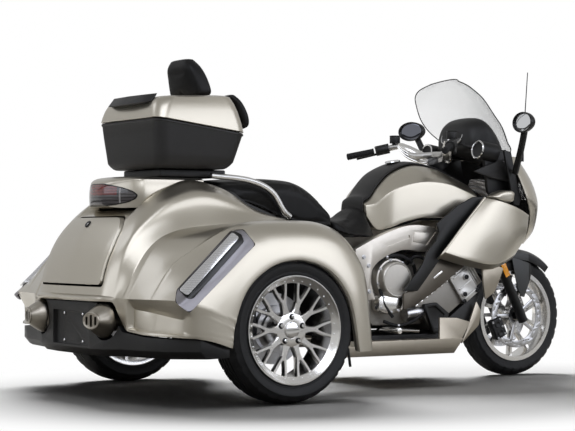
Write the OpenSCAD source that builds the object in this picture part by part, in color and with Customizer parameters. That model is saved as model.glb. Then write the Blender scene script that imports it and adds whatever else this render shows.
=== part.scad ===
// Motorized trike: touring motorcycle front with a wide two-wheeled rear body.
// Drawn from the rear axle: X forward, Y left, Z up from the ground, millimetres.

/* [Chassis] */
// Rear axle to front axle
wheelbase = 1800; // [1600:10:2000]
// Between the rear tyres' centre planes
rear_track = 1410; // [1200:10:1500]
// Overhang of the exhaust tips behind the rear axle
rear_reach = 705; // [600:5:800]

/* [Wheels] */
// Rear tyre outer radius
rear_tyre_r = 308; // [280:1:330]
// Rear tyre section width
rear_tyre_w = 200; // [160:5:225]
// Front tyre outer radius
front_tyre_r = 300; // [280:1:320]
// Front tyre section width
front_tyre_w = 120; // [100:5:140]
// Lip radius of all rims
rim_r = 228; // [200:1:240]
// Forked spokes of a rear rim
rear_spokes = 10; // [7:1:14]
// Forked spokes of the front rim
front_spokes = 5; // [3:1:9]

/* [Steering] */
// Head angle from the ground
head_angle = 62.2; // [55:0.1:70]
// Trail on the ground
trail = 108.4; // [80:0.1:130]
// Half of the fork's width at the legs
fork_half_w = 98; // [80:1:110]
// Handlebar end from the middle plane
grip_end_y = 400; // [350:5:450]

/* [Rear body] */
// Outer lip of the fenders from the middle plane
body_half_w = 822; // [780:1:850]
// Wall of the rear body
body_wall = 5; // [3:0.5:10]
// Wall of the trunk door
door_wall = 16; // [8:1:25]
// Gap round the trunk door
door_gap = 6; // [2:0.5:8]
// Height of the door's hinge edge
door_low_z = 484; // [460:1:520]
// Height of the door's top edge
door_top_z = 782; // [740:1:800]

/* [Top case] */
// Half width of the case at its split
case_half_w = 287; // [240:1:310]
// Rear end of the case at its split
case_rear_x = -362; // [-400:1:-300]
// Front end of the case at its split
case_front_x = 84; // [40:1:120]
// Height of the split over the rear end
case_split_z = 1204; // [1150:1:1230]
// Height of the case's floor
case_floor_z = 990; // [980:1:1020]
// Wall of the case
case_wall = 8; // [4:1:12]

/* [Hidden] */
$fn = 48;
silver = [0.74, 0.72, 0.67];
alloy = [0.8, 0.8, 0.8];
black = [0.1, 0.1, 0.1];
grey = [0.3, 0.3, 0.3];
rubber = [0.05, 0.05, 0.05];
clear = [0.85, 0.9, 0.95];
mid_x = (wheelbase + front_tyre_r - rear_reach) / 2;
steer_dir = [-cos(head_angle), 0, sin(head_angle)];
wheel_y = rear_track / 2;
// Hinge lines of the trunk door and of the case's lid: [x, z]
door_hinge = [-640, door_low_z + 14];
lid_hinge = [case_front_x + 10, 1147];

// Point of the steering axis at a height
function steer_at(z) = [wheelbase + trail - z / tan(head_angle), 0, z];

// Smooth line through points, with k steps between each two
function blend(a, b, c, d, t) =
    (2 * b + (c - a) * t + (2 * a - 5 * b + 4 * c - d) * t * t + (3 * b - a - 3 * c + d) * t * t * t) / 2;
function smooth_line(p, k) =
    let (n = len(p) - 1)
    concat([for (i = [0:n - 1]) for (s = [0:k - 1])
        blend(i == 0 ? 2 * p[0] - p[1] : p[i - 1], p[i], p[i + 1],
            i == n - 1 ? 2 * p[n] - p[n - 1] : p[i + 2], s / k)], [p[n]]);

// Slope at a joint of two spans with lengths h, k and slopes a, b: no overshoot past the points
function joint_slope(h, a, k, b) = a * b <= 0 ? 0 : 3 * (h + k) / ((2 * k + h) / a + (k + 2 * h) / b);

// Lengths from the first point along a line of points
function lengths(p) =
    [for (i = 0, s = 0; i < len(p); s = s + norm(p[min(i + 1, len(p) - 1)] - p[i]), i = i + 1) s];

// Firm line through points at the places t, with steps[i] parts in each span; its creases stay in place
function firm_line(p, t, steps) =
    let (
        n = len(p) - 1,
        h = [for (i = [0:n - 1]) t[i + 1] - t[i]],
        d = [for (i = [0:n - 1]) (p[i + 1] - p[i]) / h[i]],
        m = [for (i = [0:n]) i == 0 ? d[0] : i == n ? d[n - 1]
            : [for (c = [0:2]) joint_slope(h[i - 1], d[i - 1][c], h[i], d[i][c])]]
    )
    concat([for (i = [0:n - 1]) for (q = [0:steps[i] - 1])
        let (s = q / steps[i])
        (1 + 2 * s) * (1 - s) * (1 - s) * p[i] + s * (1 - s) * (1 - s) * h[i] * m[i]
            + s * s * (3 - 2 * s) * p[i + 1] - s * s * (1 - s) * h[i] * m[i + 1]], [p[n]]);

// Smooth grid through rows of points
function smooth_grid(rows, along, across) =
    let (a = [for (r = rows) smooth_line(r, along)])
    [for (j = [0:len(a[0]) - 1]) smooth_line([for (r = a) r[j]], across)];

// Closed solid from points and triangles, turned the right way out
module solid(points, faces) {
    parts = [for (f = faces) cross(points[f[0]], points[f[1]]) * points[f[2]]];
    size = parts * [for (f = faces) 1];
    polyhedron(points, size > 0 ? [for (f = faces) [f[0], f[2], f[1]]] : faces);
}

function grid_normal(g, i, j) =
    let (
        a = g[min(i + 1, len(g) - 1)][j] - g[max(i - 1, 0)][j],
        b = g[i][min(j + 1, len(g[0]) - 1)] - g[i][max(j - 1, 0)],
        c = cross(a, b)
    ) c / norm(c);

function sunk_grid(g, t) =
    [for (i = [0:len(g) - 1]) [for (j = [0:len(g[0]) - 1]) g[i][j] - t * grid_normal(g, i, j)]];

// Wall of thickness t on one side of a grid of points; a negative t takes the other side
module shell(g, t) {
    n = len(g);
    m = len(g[0]);
    skin = [for (r = g) for (p = r) p];
    back = [for (r = sunk_grid(g, t)) for (p = r) p];
    k = n * m;
    cells = [for (i = [0:n - 2]) for (j = [0:m - 2]) i * m + j];
    rim = concat(
        [for (j = [0:m - 1]) j],
        [for (i = [1:n - 1]) i * m + m - 1],
        [for (j = [m - 2:-1:0]) (n - 1) * m + j],
        [for (i = [n - 2:-1:1]) i * m]);
    solid(concat(skin, back), concat(
        [for (c = cells) [c, c + m, c + m + 1]],
        [for (c = cells) [c, c + m + 1, c + 1]],
        [for (c = cells) [k + c, k + c + m + 1, k + c + m]],
        [for (c = cells) [k + c, k + c + 1, k + c + m + 1]],
        [for (i = [0:len(rim) - 1]) let (a = rim[i], b = rim[(i + 1) % len(rim)]) [a, b, k + b]],
        [for (i = [0:len(rim) - 1]) let (a = rim[i], b = rim[(i + 1) % len(rim)]) [a, k + b, k + a]]));
}

// Closed solid through rings of equal length, with flat or domed ends
module loft(rings) {
    n = len(rings);
    m = len(rings[0]);
    ones = [for (j = [1:m]) 1 / m];
    points = concat([for (r = rings) for (p = r) p], [ones * rings[0], ones * rings[n - 1]]);
    solid(points, concat(
        [for (i = [0:n - 2]) for (j = [0:m - 1])
            [i * m + j, (i + 1) * m + j, (i + 1) * m + (j + 1) % m]],
        [for (i = [0:n - 2]) for (j = [0:m - 1])
            [i * m + j, (i + 1) * m + (j + 1) % m, i * m + (j + 1) % m]],
        [for (j = [0:m - 1]) [n * m, j, (j + 1) % m]],
        [for (j = [0:m - 1]) [n * m + 1, (n - 1) * m + (j + 1) % m, (n - 1) * m + j]]));
}

// Round bar between two points
module rod(a, b, r, r_end = -1) {
    v = b - a;
    translate(a)
        rotate([0, acos(v[2] / norm(v)), atan2(v[1], v[0])])
            cylinder(h = norm(v), r1 = r, r2 = r_end < 0 ? r : r_end);
}

// Bent tube of radius r along points, in flats
module pipe(path, r, sides = 12) {
    n = len(path) - 1;
    loft([for (i = [0:n])
        let (
            d = path[min(i + 1, n)] - path[max(i - 1, 0)],
            u = cross(d, abs(d[2]) > 0.9 * norm(d) ? [1, 0, 0] : [0, 0, 1]),
            a = u / norm(u),
            b = cross(a, d) / norm(d)
        )
        [for (k = [0:sides - 1]) path[i] + r * (cos(360 * k / sides) * a + sin(360 * k / sides) * b)]]);
}

// Plate with its outline in the X-Z plane, between two Y values
module plate(points, y0, y1) {
    translate([0, y1, 0])
        rotate([90, 0, 0])
            linear_extrude(y1 - y0)
                polygon(points);
}

// Outline in the Y-Z plane, between two X values
module slab(points, x0, x1) {
    translate([x0, 0, 0])
        rotate([90, 0, 90])
            linear_extrude(x1 - x0)
                polygon(points);
}

module box(low, high) {
    translate(low)
        cube(high - low);
}

// The children on both sides of the middle plane
module both() {
    children();
    mirror([0, 1, 0])
        children();
}

// Shared frame: the origin is on the ground below the middle of the length
module place() {
    translate([-mid_x, 0, 0])
        children();
}

// Rear body ribs: [y, parts to the next rib, then x and z from the rear's low edge over to the front]
// columns: low, step, crease, middle, upper, shoulder, top rear, top, top middle, top front,
// front shoulder, front, front low
ribs = [
    [0, 3, [-655, 426], [-660, 434], [-650, 442], [-618, 585], [-570, 690], [-505, 775], [-400, 806],
        [-250, 812], [-50, 812], [120, 790], [280, 735], [330, 600], [330, 430]],
    [232, 1, [-652, 426], [-657, 434], [-647, 442], [-604, 588], [-548, 690], [-480, 772], [-395, 806],
        [-250, 812], [-50, 812], [120, 785], [285, 735], [340, 600], [340, 430]],
    [246, 2, [-652, 426], [-656, 434], [-646, 442], [-602, 588], [-546, 690], [-474, 780], [-305, 900],
        [-185, 936], [-20, 898], [115, 820], [290, 752], [345, 600], [345, 430]],
    [300, 2, [-646, 427], [-649, 434], [-640, 442], [-592, 588], [-535, 690], [-462, 778], [-310, 876],
        [-188, 908], [-20, 872], [112, 806], [290, 750], [355, 600], [355, 430]],
    [350, 2, [-614, 424], [-615, 432], [-609, 441], [-577, 578], [-522, 690], [-440, 770], [-318, 845],
        [-180, 872], [-12, 832], [108, 788], [290, 748], [365, 600], [368, 425]],
    [364, 2, [-598, 392], [-598, 420], [-602, 440], [-564, 574], [-506, 674], [-426, 742], [-308, 802],
        [-178, 824], [-14, 800], [108, 776], [290, 747], [370, 600], [372, 410]],
    [430, 3, [-585, 306], [-570, 406], [-588, 438], [-518, 566], [-452, 640], [-385, 684], [-290, 712],
        [-170, 732], [-20, 745], [110, 750], [290, 742], [388, 580], [396, 260]],
    [555, 3, [-577, 293], [-540, 406], [-556, 438], [-457, 566], [-403, 640], [-347, 690], [-260, 725],
        [-154, 742], [-20, 752], [118, 755], [300, 731], [411, 553], [426, 191]],
    [660, 2, [-556, 290], [-520, 406], [-540, 438], [-430, 566], [-368, 638], [-308, 692], [-235, 730],
        [-130, 749], [-8, 755], [120, 753], [290, 712], [406, 530], [430, 190]],
    [745, 2, [-512, 288], [-510, 404], [-538, 438], [-402, 564], [-332, 632], [-272, 688], [-210, 724],
        [-112, 744], [0, 748], [118, 742], [268, 690], [388, 515], [420, 190]],
    [786, 2, [-470, 286], [-496, 398], [-526, 434], [-374, 542], [-306, 606], [-250, 658], [-190, 694],
        [-101, 716], [4, 720], [108, 712], [242, 660], [355, 492], [395, 191]],
    [812, 1, [-388, 268], [-402, 350], [-412, 398], [-326, 500], [-268, 560], [-210, 608], [-150, 642],
        [-74, 660], [8, 664], [90, 654], [200, 602], [314, 450], [354, 192]],
    [body_half_w, 0, [-319, 242], [-314, 302], [-304, 350], [-274, 436], [-231, 502], [-171, 552],
        [-112, 583], [-51, 599], [10, 603], [77, 592], [170, 550], [275, 408], [315, 195]],
];
rib_parts = [2, 2, 3, 2, 2, 3, 2, 2, 2, 3, 3, 2];
half_body = [for (r = ribs) let (p = [for (j = [2:14]) [r[j][0], r[0], r[j][1]]])
    firm_line(p, lengths(p), rib_parts)];
half_grid = [for (j = [0:len(half_body[0]) - 1])
    let (p = [for (r = half_body) r[j]])
    firm_line(concat([[p[1][0], -p[1][1], p[1][2]]], p), concat([-ribs[1][0]], [for (r = ribs) r[0]]),
        concat([1], [for (r = ribs) r[1]]))];
body_grid = [for (c = half_grid)
    concat([for (i = [len(c) - 1:-1:2]) [c[i][0], -c[i][1], c[i][2]]], [for (i = [1:len(c) - 1]) c[i]])];

// Smooth skin of the fender's rear corner, carried on below the crease
corner_rows = [for (i = [len(ribs) - 5:len(ribs) - 1])
    let (
        r = ribs[i],
        q = concat([1.5 * r[4] - 0.5 * r[5]], [for (j = [4:9]) r[j]]),
        p = [for (c = q) [c[0], r[0], c[1]]]
    )
    firm_line(p, lengths(p), [2, 3, 2, 2, 2, 2])];
corner_grid = [for (j = [0:len(corner_rows[0]) - 1])
    firm_line([for (r = corner_rows) r[j]], [for (r = corner_rows) r[0][1]], [2, 2, 2, 1])];

// Door outline in the Y-Z plane, shrunk by a gap
function door_outline(gap) = [
    [-292 + gap, door_low_z + gap], [292 - gap, door_low_z + gap],
    [286 - gap, 640], [262 - gap, door_top_z - 46], [236 - gap, door_top_z - 12 - gap],
    [205 - gap, door_top_z - gap],
    [-205 + gap, door_top_z - gap], [-236 + gap, door_top_z - 12 - gap], [-262 + gap, door_top_z - 46],
    [-286 + gap, 640],
];

module rear_body() {
    color(silver)
        place()
            difference() {
                shell(body_grid, body_wall);
                slab(door_outline(0), -720, -430);
                both()
                    lamp_prism(lamp_outline(0));
            }
}

module trunk_door() {
    color(silver)
        place()
            union() {
                intersection() {
                    shell(body_grid, door_wall);
                    slab(door_outline(door_gap), -720, -430);
                }
                both()
                    rod([door_hinge[0], 160, door_hinge[1]], [door_hinge[0], 204, door_hinge[1]], 7);
            }
}

// Load tub below the shell, open to the rear
module trunk_tub() {
    side = [[-545, 441], [-480, 560], [-410, 640], [-340, 678], [-200, 715], [230, 715], [300, 600],
        [300, 441]];
    color(black)
        place()
            union() {
                both()
                    plate(side, 324, 330);
                box([-590, -330, 440], [300, 330, 446]);
                box([294, -330, 440], [300, 330, 600]);
            }
}

// Dark arches over the rear wheels, with inner walls
module wheel_liners() {
    color(black)
        place()
            both()
                translate([0, 562, rear_tyre_r])
                    rotate([-90, 0, 0])
                        rotate([0, 0, 170])
                            rotate_extrude(angle = 200)
                                polygon([[120, 0], [352, 0], [352, 226], [347, 226], [347, 5], [120, 5]]);
}

// Dark lower bumper between the silver corners, with a plate recess: [y, rear x, front x, low z, high z]
valance_table = [[0, -636, -560, 192, 418], [180, -635, -560, 192, 418], [300, -630, -560, 194, 415],
    [400, -594, -540, 198, 300], [560, -580, -530, 200, 286], [680, -540, -490, 200, 282],
    [790, -442, -400, 202, 278], [808, -350, -320, 206, 240]];
// Middle of an exhaust's mouth and line of its pipe
exhaust_y = 312;
pipe_y = 298;
exhaust_z = 345;

module rear_valance() {
    color(black)
        place()
            difference() {
                loft([for (v = [-1, 1]) for (i = v < 0 ? [7:-1:0] : [1:7])
                    let (s = valance_table[i], y = v * s[0])
                    [[s[1] + 26, y, s[3]], [s[2], y, s[3]], [s[2], y, s[4]], [s[1], y, s[4]],
                        [s[1], y, s[3] + 30]]]);
                box([-650, -170, 232], [-618, 170, 378]);
                for (y = [-89, 89]) for (z = [246, 364])
                    rod([-650, y, z], [-540, y, z], 3.5);
                both()
                    rod([-720, pipe_y, exhaust_z], [-500, pipe_y, exhaust_z], 84);
            }
}

// Flared exhaust ends turned a little outwards, from a flat oval mouth: [depth, half width, half height]
exhaust_turn = 12;
exhaust_table = [[0, 52, 34], [5, 56, 39], [36, 65, 58], [62, 72, 73], [72, 73, 75], [82, 64, 66]];

module exhaust_tips() {
    mouth_x = -rear_reach + exhaust_table[0][1] * sin(exhaust_turn);
    color(grey)
        place()
            both()
                union() {
                    difference() {
                        translate([mouth_x, exhaust_y, exhaust_z])
                            rotate([0, 0, -exhaust_turn])
                                loft([for (s = exhaust_table) [for (t = [0:15:345])
                                    [s[0], s[1] * cos(t), s[2] * sin(t)]]]);
                        translate([mouth_x, exhaust_y, exhaust_z])
                            rotate([0, 0, -exhaust_turn])
                                for (c = [[-29, 18], [0, 25], [29, 18]])
                                    translate([-1, c[0] - 7.5, -c[1]])
                                        cube([34, 15, 2 * c[1]]);
                    }
                    rod([-622, pipe_y, exhaust_z], [-430, pipe_y, exhaust_z], 45);
                }
}

// Slanted lamps wrapped round the fenders' rear corners, outlined as seen from the corner: [along, z]
lamp_turn = 32.8;
function lamp_outline(gap) = [
    [-46 + gap, 432], [12, 389 + gap * 1.4], [273 - gap * 1.4, 662], [221, 725 - gap], [172, 722 - gap],
    [-44 + gap, 480],
];
function lens_outline(gap) = [[-30 + gap, 474], [8, 452 + gap], [212 - gap, 688], [182, 712 - gap]];

module lamp_prism(points) {
    rotate([0, 0, lamp_turn])
        plate(points, 740, 1010);
}

module lamp_plates() {
    color(grey)
        place()
            both()
                difference() {
                    intersection() {
                        shell(sunk_grid(corner_grid, -8), 14);
                        lamp_prism(lamp_outline(1));
                    }
                    lamp_prism(lens_outline(0));
                }
}

module lamp_lenses() {
    color(clear)
        place()
            both()
                intersection() {
                    shell(sunk_grid(corner_grid, -14), 16);
                    lamp_prism(lens_outline(0.6));
                }
}

// Tail of the motorcycle over the trunk, rounded in plan: [x, half width, low z, high z]
tail_table = [[-512, 24, 843, 898], [-506, 58, 834, 914], [-490, 100, 822, 928], [-468, 140, 818, 938],
    [-446, 174, 818, 944], [-422, 203, 818, 947], [-388, 222, 818, 948], [-300, 227, 820, 948],
    [-200, 226, 820, 948], [-100, 222, 820, 948]];
function tail_ring(s) = [for (v = [-1, 1]) for (q = v < 0 ? [0:4] : [4:-1:0])
    let (p = [[0, 0], [4, 0.5], [-4, 0.86], [-0.07 * s[1], 0.97], [-s[1] * 0.45, 1.05]][q])
    [s[0], v * (s[1] + p[0]), s[2] + (s[3] - s[2]) * p[1]]];
// Eye-shaped lamp right across the tail: [half width, z]
lens_table = [[62, 829], [120, 834], [172, 843], [200, 857], [206, 873], [190, 888], [150, 902],
    [100, 912], [50, 919]];
function tail_lens(gap) = [for (v = [-1, 1]) for (q = v < 0 ? [0:8] : [8:-1:0])
    let (p = lens_table[q])
    [v * (p[0] - gap), p[1] + (p[1] < 865 ? gap : -gap)]];

module tail_cowl() {
    color(silver)
        place()
            difference() {
                loft([for (s = tail_table) tail_ring(s)]);
                slab(tail_lens(0), -530, -392);
            }
}

module tail_lamp() {
    color([0.6, 0.1, 0.1])
        place()
            intersection() {
                loft([for (s = tail_table) tail_ring(s)]);
                slab(tail_lens(1.5), -530, -392.3);
            }
}

// Black foot that carries the top case
module case_rack() {
    color(black)
        place()
            box([-290, -170, 954.6], [40, 170, 988]);
}

// Case rings: rounded rectangle in plan with its height from a function of x
function case_ring(x0, x1, hw, r, z, slope) = [
    for (c = [[x1 - r, hw - r, 0], [x0 + r, hw - r, 90], [x0 + r, r - hw, 180], [x1 - r, r - hw, 270]])
        for (a = [0, 30, 60, 90])
            let (x = c[0] + r * cos(c[2] + a))
            [x, c[1] + r * sin(c[2] + a), z - slope * (x - x0)]
];
split_slope = 0.13;

module case_base() {
    w = case_wall;
    color(grey)
        place()
            difference() {
                loft([
                    case_ring(-330, 30, 236, 60, case_floor_z, 0),
                    case_ring(-345, 50, 262, 60, case_floor_z + 30, 0),
                    case_ring(case_rear_x, case_front_x, case_half_w, 60, case_split_z - 2, split_slope),
                ]);
                loft([
                    case_ring(-330 + w, 30 - w, 236 - w, 55, case_floor_z + w, 0),
                    case_ring(-345 + w, 50 - w, 262 - w, 55, case_floor_z + 30, 0),
                    case_ring(case_rear_x + w, case_front_x - w, case_half_w - w, 55, case_split_z + 2,
                        split_slope),
                ]);
            }
}

module lid_form(g) {
    loft([
        case_ring(case_rear_x - 2 - g, case_front_x + 2 + g, case_half_w + 2 + g, 60, case_split_z + 4 - g,
            split_slope),
        case_ring(-352 - g, 66 + g, 278 + g, 62, 1258, 0.04),
        case_ring(-330 - g, 34 + g, 262 + g, 64, 1292 + g, -0.04),
        case_ring(-285, 0, 225, 60, 1304 + g, -0.04),
    ]);
}

module case_lid() {
    w = case_wall;
    color(silver)
        place()
            union() {
                difference() {
                    lid_form(0);
                    loft([
                        case_ring(case_rear_x + w, case_front_x - w, case_half_w - w, 55, case_split_z,
                            split_slope),
                        case_ring(-352 + w, 66 - w, 278 - w, 55, 1258 - w, 0.04),
                        case_ring(-330 + w, 34 - w, 262 - w, 55, 1288 - w, -0.04),
                        case_ring(-285, 0, 225, 50, 1299 - w, -0.04),
                    ]);
                }
                both() {
                    rod([lid_hinge[0], 110, lid_hinge[1]], [lid_hinge[0], 160, lid_hinge[1]], 5);
                    box([80, 110, lid_hinge[1] + 4], [lid_hinge[0] + 2, 160, lid_hinge[1] + 14]);
                }
            }
}

// Black handle on the rear of the lid
module lid_trim() {
    table = [[-190, -350, -334, 1278], [-150, -378, -334, 1272], [0, -388, -334, 1270],
        [150, -378, -334, 1272], [190, -350, -334, 1278]];
    color(black)
        place()
            difference() {
                loft([for (s = table) [[s[1], s[0], s[3]], [s[2], s[0], s[3]], [s[2] + 20, s[0], 1314],
                    [s[1] + 30, s[0], 1310]]]);
                lid_form(0.2);
            }
}

// Seat pad rings across X: [x, half width, low z, high z, dip of the edge, half width at the low edge]
function pad_ring(s) =
    let (half = [[s[5] - 10, s[2]], [s[5], s[2] + 14], [s[1], s[3] - s[4]], [s[1] * 0.8, s[3] - s[4] * 0.3],
        [s[1] * 0.4, s[3]]])
    [for (v = [-1, 1]) for (q = v < 0 ? [0:4] : [4:-1:0]) [s[0], v * half[q][0], half[q][1]]];

module rider_seat() {
    table = [[625, 140, 728, 772, 14, 140], [645, 168, 716, 770, 22, 168], [703, 176, 700, 762, 26, 178],
        [760, 164, 694, 776, 34, 182], [810, 138, 692, 812, 44, 176], [850, 112, 694, 836, 44, 158],
        [866, 96, 700, 838, 40, 140]];
    color(black)
        place()
            loft([for (s = table) pad_ring(s)]);
}

module passenger_seat() {
    table = [[-88, 160, 870, 926, 16], [-40, 178, 862, 940, 22], [110, 184, 856, 952, 24],
        [220, 186, 826, 958, 26], [330, 186, 782, 957, 28], [410, 182, 760, 950, 30],
        [480, 176, 748, 922, 30], [555, 170, 742, 868, 28], [612, 160, 740, 812, 22],
        [622, 140, 744, 796, 16]];
    color(black)
        place()
            loft([for (s = table) pad_ring(concat(s, [s[1]]))]);
}

// Pads of the lid: rings up the slope, [x rear, x front, half width, z]
module backrest_pad() {
    table = [[108, 140, 190, 1166], [104, 164, 214, 1182], [86, 158, 222, 1230], [58, 122, 216, 1290],
        [36, 80, 196, 1324]];
    color(black)
        place()
            loft([for (s = table) case_ring(s[0], s[1], s[2], (s[1] - s[0]) / 2 - 1, s[3], 0)]);
}

module headrest_pad() {
    table = [[-92, 12, 132, 1319], [-97, 16, 142, 1340], [-112, -4, 132, 1400], [-124, -30, 112, 1450],
        [-112, -62, 80, 1486]];
    color(black)
        place()
            loft([for (s = table) case_ring(s[0], s[1], s[2], (s[1] - s[0]) / 2 - 1, s[3], 0)]);
}

// Silver rails along the passenger seat
module grab_rails() {
    path = smooth_line([[-60, 214, 962], [130, 222, 944], [246, 226, 896], [310, 226, 812],
        [346, 222, 784]], 2);
    color(alloy)
        place()
            both()
                pipe(path, 13);
}

// Black strips between the seat and the silver hump
module seat_strips() {
    color(black)
        place()
            both()
                plate([[-94, 926], [50, 888], [110, 848], [290, 778], [420, 740], [420, 690], [290, 745],
                    [110, 806], [50, 842], [-94, 880]], 206, 230);
}

// Tank cover sections: [x, top z, crease half width, crease z, low half width, low z]
tank_table = [[884, 890, 130, 850, 140, 728], [930, 944, 168, 895, 166, 734],
    [1000, 1004, 192, 932, 184, 762], [1115, 1046, 208, 954, 196, 786], [1245, 1034, 214, 946, 204, 786],
    [1345, 1000, 214, 918, 206, 790], [1440, 965, 206, 884, 202, 806]];
// Half section, low edge to top: parts of the crease's half width, parts of the height over the crease
tank_half = [[1, 0], [0.88, 0.3], [0.72, 0.58], [0.45, 0.88]];
function tank_side(s, v) = concat([[s[0], v * s[4], s[5]]],
    [for (p = tank_half) [s[0], v * s[2] * p[0], s[3] + (s[1] - s[3]) * p[1]]]);
function tank_ring(s) =
    let (left = tank_side(s, 1))
    concat(tank_side(s, -1), [[s[0], 0, s[1]]], [for (i = [len(left) - 1:-1:0]) left[i]]);

module tank_cover() {
    color(silver)
        place()
            difference() {
                loft([for (s = tank_table) tank_ring(s)]);
                rod(steer_at(700), steer_at(1060), 52);
            }
}

// Black strip along the top of the tank
module tank_strip() {
    rows = [for (s = concat([[872, 860, 130, 826]], tank_table))
        [for (y = [-96, -50, 0, 50, 96]) [s[0] - 6, y, s[1] + 13 - y * y * 0.001]]];
    color(black)
        place()
            difference() {
                shell(rows, 7);
                rod(steer_at(900), steer_at(1100), 54);
            }
}

// Alloy frame spars with the steering head
module frame_spars() {
    top = smooth_line([[700, 636], [842, 700], [965, 740], [1050, 750], [1141, 741], [1200, 728],
        [1400, 776]], 2);
    low = smooth_line([[1240, 696], [1160, 648], [1100, 624], [999, 632], [930, 622], [830, 578],
        [786, 510], [812, 400]], 2);
    rear = [[765, 400], [742, 520], [700, 590]];
    slot = [[872, 662], [1008, 703], [1012, 689], [880, 648]];
    panel = [[1030, 724], [1168, 719], [1108, 652], [1024, 664]];
    color(alloy)
        place()
            difference() {
                union() {
                    both()
                        plate(concat(top, [[1470, 776], [1470, 732]], low, rear), 192, 232);
                    rod(steer_at(740), steer_at(905), 44);
                    box([1400, -232, 732], [1490, 232, 776]);
                }
                rod(steer_at(700), steer_at(960), 30);
                both() {
                    plate(slot, 227, 240);
                    plate(panel, 229, 240);
                }
            }
}

// Frame of the leaning cylinders: Z along them, from the crankcase up to the head
module cylinder_frame() {
    translate([1080, 0, 330])
        rotate([0, 55, 0])
            children();
}

// Engine: crankcase and leaning cylinders
module engine_block() {
    color(alloy)
        place()
            union() {
                plate([[800, 310], [830, 280], [1105, 280], [1150, 330], [1130, 480], [1075, 560], [850, 560],
                    [800, 505]], -185, 185);
                cylinder_frame()
                    box([-92, -236, 0], [92, 236, 220]);
            }
}

// Head with its bosses and cam cover
module cylinder_head() {
    color(alloy)
        place()
            cylinder_frame()
                union() {
                    box([-100, -250, 220.3], [104, 250, 330]);
                    box([-78, -238, 329], [82, 238, 376]);
                    both()
                        for (p = [[-62, 246], [62, 246], [0, 300]])
                            translate([p[0], 240, p[1]])
                                rotate([-90, 0, 0])
                                    cylinder(h = 18, r = 15);
                }
}

module engine_covers() {
    color(alloy)
        place()
            both()
                union() {
                    translate([922, 185.3, 494])
                        rotate([-90, 0, 0])
                            cylinder(h = 40, r = 100);
                    translate([922, 224, 494])
                        rotate([-90, 0, 0])
                            cylinder(h = 36, r1 = 92, r2 = 80);
                    plate([[818, 380], [822, 410], [836, 424], [900, 418], [944, 430], [962, 400], [958, 350],
                        [930, 338], [868, 334], [822, 348]], 185.3, 250);
                }
}

// Black diagonal trims in front of the engine, and the trims behind the nose's edges
module fairing_trims() {
    diagonal = [[930, 442], [1003, 522], [1040, 567], [1063, 618], [1123, 676], [1138, 713], [1123, 754],
        [1246, 841], [1341, 883], [1420, 887], [1424, 862], [1220, 650], [1161, 609], [1011, 441]];
    pillar = [[1545, 1114], [1590, 1106], [1620, 985], [1654, 880], [1640, 846], [1604, 852], [1582, 960]];
    color(black)
        place()
            both() {
                plate(diagonal, 282, 294);
                plate(pillar, 262, 276);
            }
}

// Side fairing rows from the rear edge forward, each from the top to the turned-in low edge
fairing_rows = [
    [[1392, 318, 880], [1250, 333, 748], [1128, 340, 622], [1120, 306, 592]],
    [[1455, 340, 868], [1345, 354, 722], [1262, 360, 584], [1262, 318, 556]],
    [[1540, 340, 846], [1470, 351, 700], [1404, 352, 562], [1410, 312, 536]],
    [[1612, 326, 824], [1572, 337, 700], [1500, 338, 580], [1508, 300, 556]],
    [[1690, 290, 800], [1664, 299, 702], [1596, 300, 610], [1604, 268, 590]],
];

module fairing_side() {
    shell(smooth_grid(fairing_rows, 2, 2), 6);
}

module fairing_left() {
    color(silver)
        place()
            fairing_side();
}

module fairing_right() {
    color(silver)
        place()
            mirror([0, 1, 0])
                fairing_side();
}

// Lower fairing strips below the trims, round to the front of the engine
module lower_fairings() {
    strip = [[1165, 600], [1304, 556], [1148, 452], [1008, 370], [945, 353], [945, 430], [1010, 448]];
    foot = [[1392, 386], [1420, 340], [1408, 270], [1300, 182], [1340, 260]];
    shroud = [[1408, 573], [1470, 566], [1547, 542], [1514, 470], [1489, 427], [1432, 390], [1420, 470]];
    color(silver)
        place()
            both() {
                plate(strip, 262, 274);
                plate(shroud, 262, 272);
                plate(foot, 242, 252);
            }
}

// Running boards with their front shields
module running_boards() {
    color(silver)
        place()
            both()
                union() {
                    plate([[455, 222], [1180, 222], [1125, 155], [455, 155]], 330, 420);
                    plate([[1050, 219], [1179, 219], [1228, 296], [1150, 316], [1050, 320]], 400, 410);
                    box([455, 230, 170], [1100, 330, 200]);
                }
}

// Dark pan below the engine, and the air ducts beside it
module belly_pan() {
    pan = [[780, 236], [1140, 236], [1400, 416], [1432, 406], [1310, 172], [780, 172]];
    duct = [[1075, 376], [1150, 384], [1226, 330], [1180, 238], [1130, 238]];
    mouth = [[1100, 360], [1142, 366], [1196, 326], [1166, 258], [1138, 258]];
    color(black)
        place()
            union() {
                plate(pan, -225, 225);
                both()
                    difference() {
                        plate(duct, 238, 258);
                        plate(mouth, 250, 260);
                    }
            }
}

// Nose rows from low to high: [z, middle x, edge x, half width]
nose_table = [[660, 1800, 1716, 200], [720, 1850, 1714, 252], [805, 1880, 1712, 272], [882, 1880, 1668, 300],
    [983, 1842, 1632, 284], [1085, 1764, 1606, 244]];

nose_grid = smooth_grid([for (s = nose_table) [for (a = [-90:15:90])
    [s[2] + (s[1] - s[2]) * pow(cos(a), 1.2), s[3] * sin(a), s[0]]]], 1, 2);

function headlamp_outline(gap) = [[34 + gap, 878 + gap], [184, 900 + gap], [226 - gap, 948],
    [206 - gap, 990 - gap], [70, 968 - gap], [34 + gap, 934]];

module nose() {
    color(silver)
        place()
            difference() {
                shell(nose_grid, -6);
                both()
                    slab(headlamp_outline(0), 1640, 1900);
            }
}

module headlamps() {
    color(clear)
        place()
            both()
                intersection() {
                    shell(nose_grid, -6);
                    slab(headlamp_outline(1), 1640, 1900);
                }
}

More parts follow.
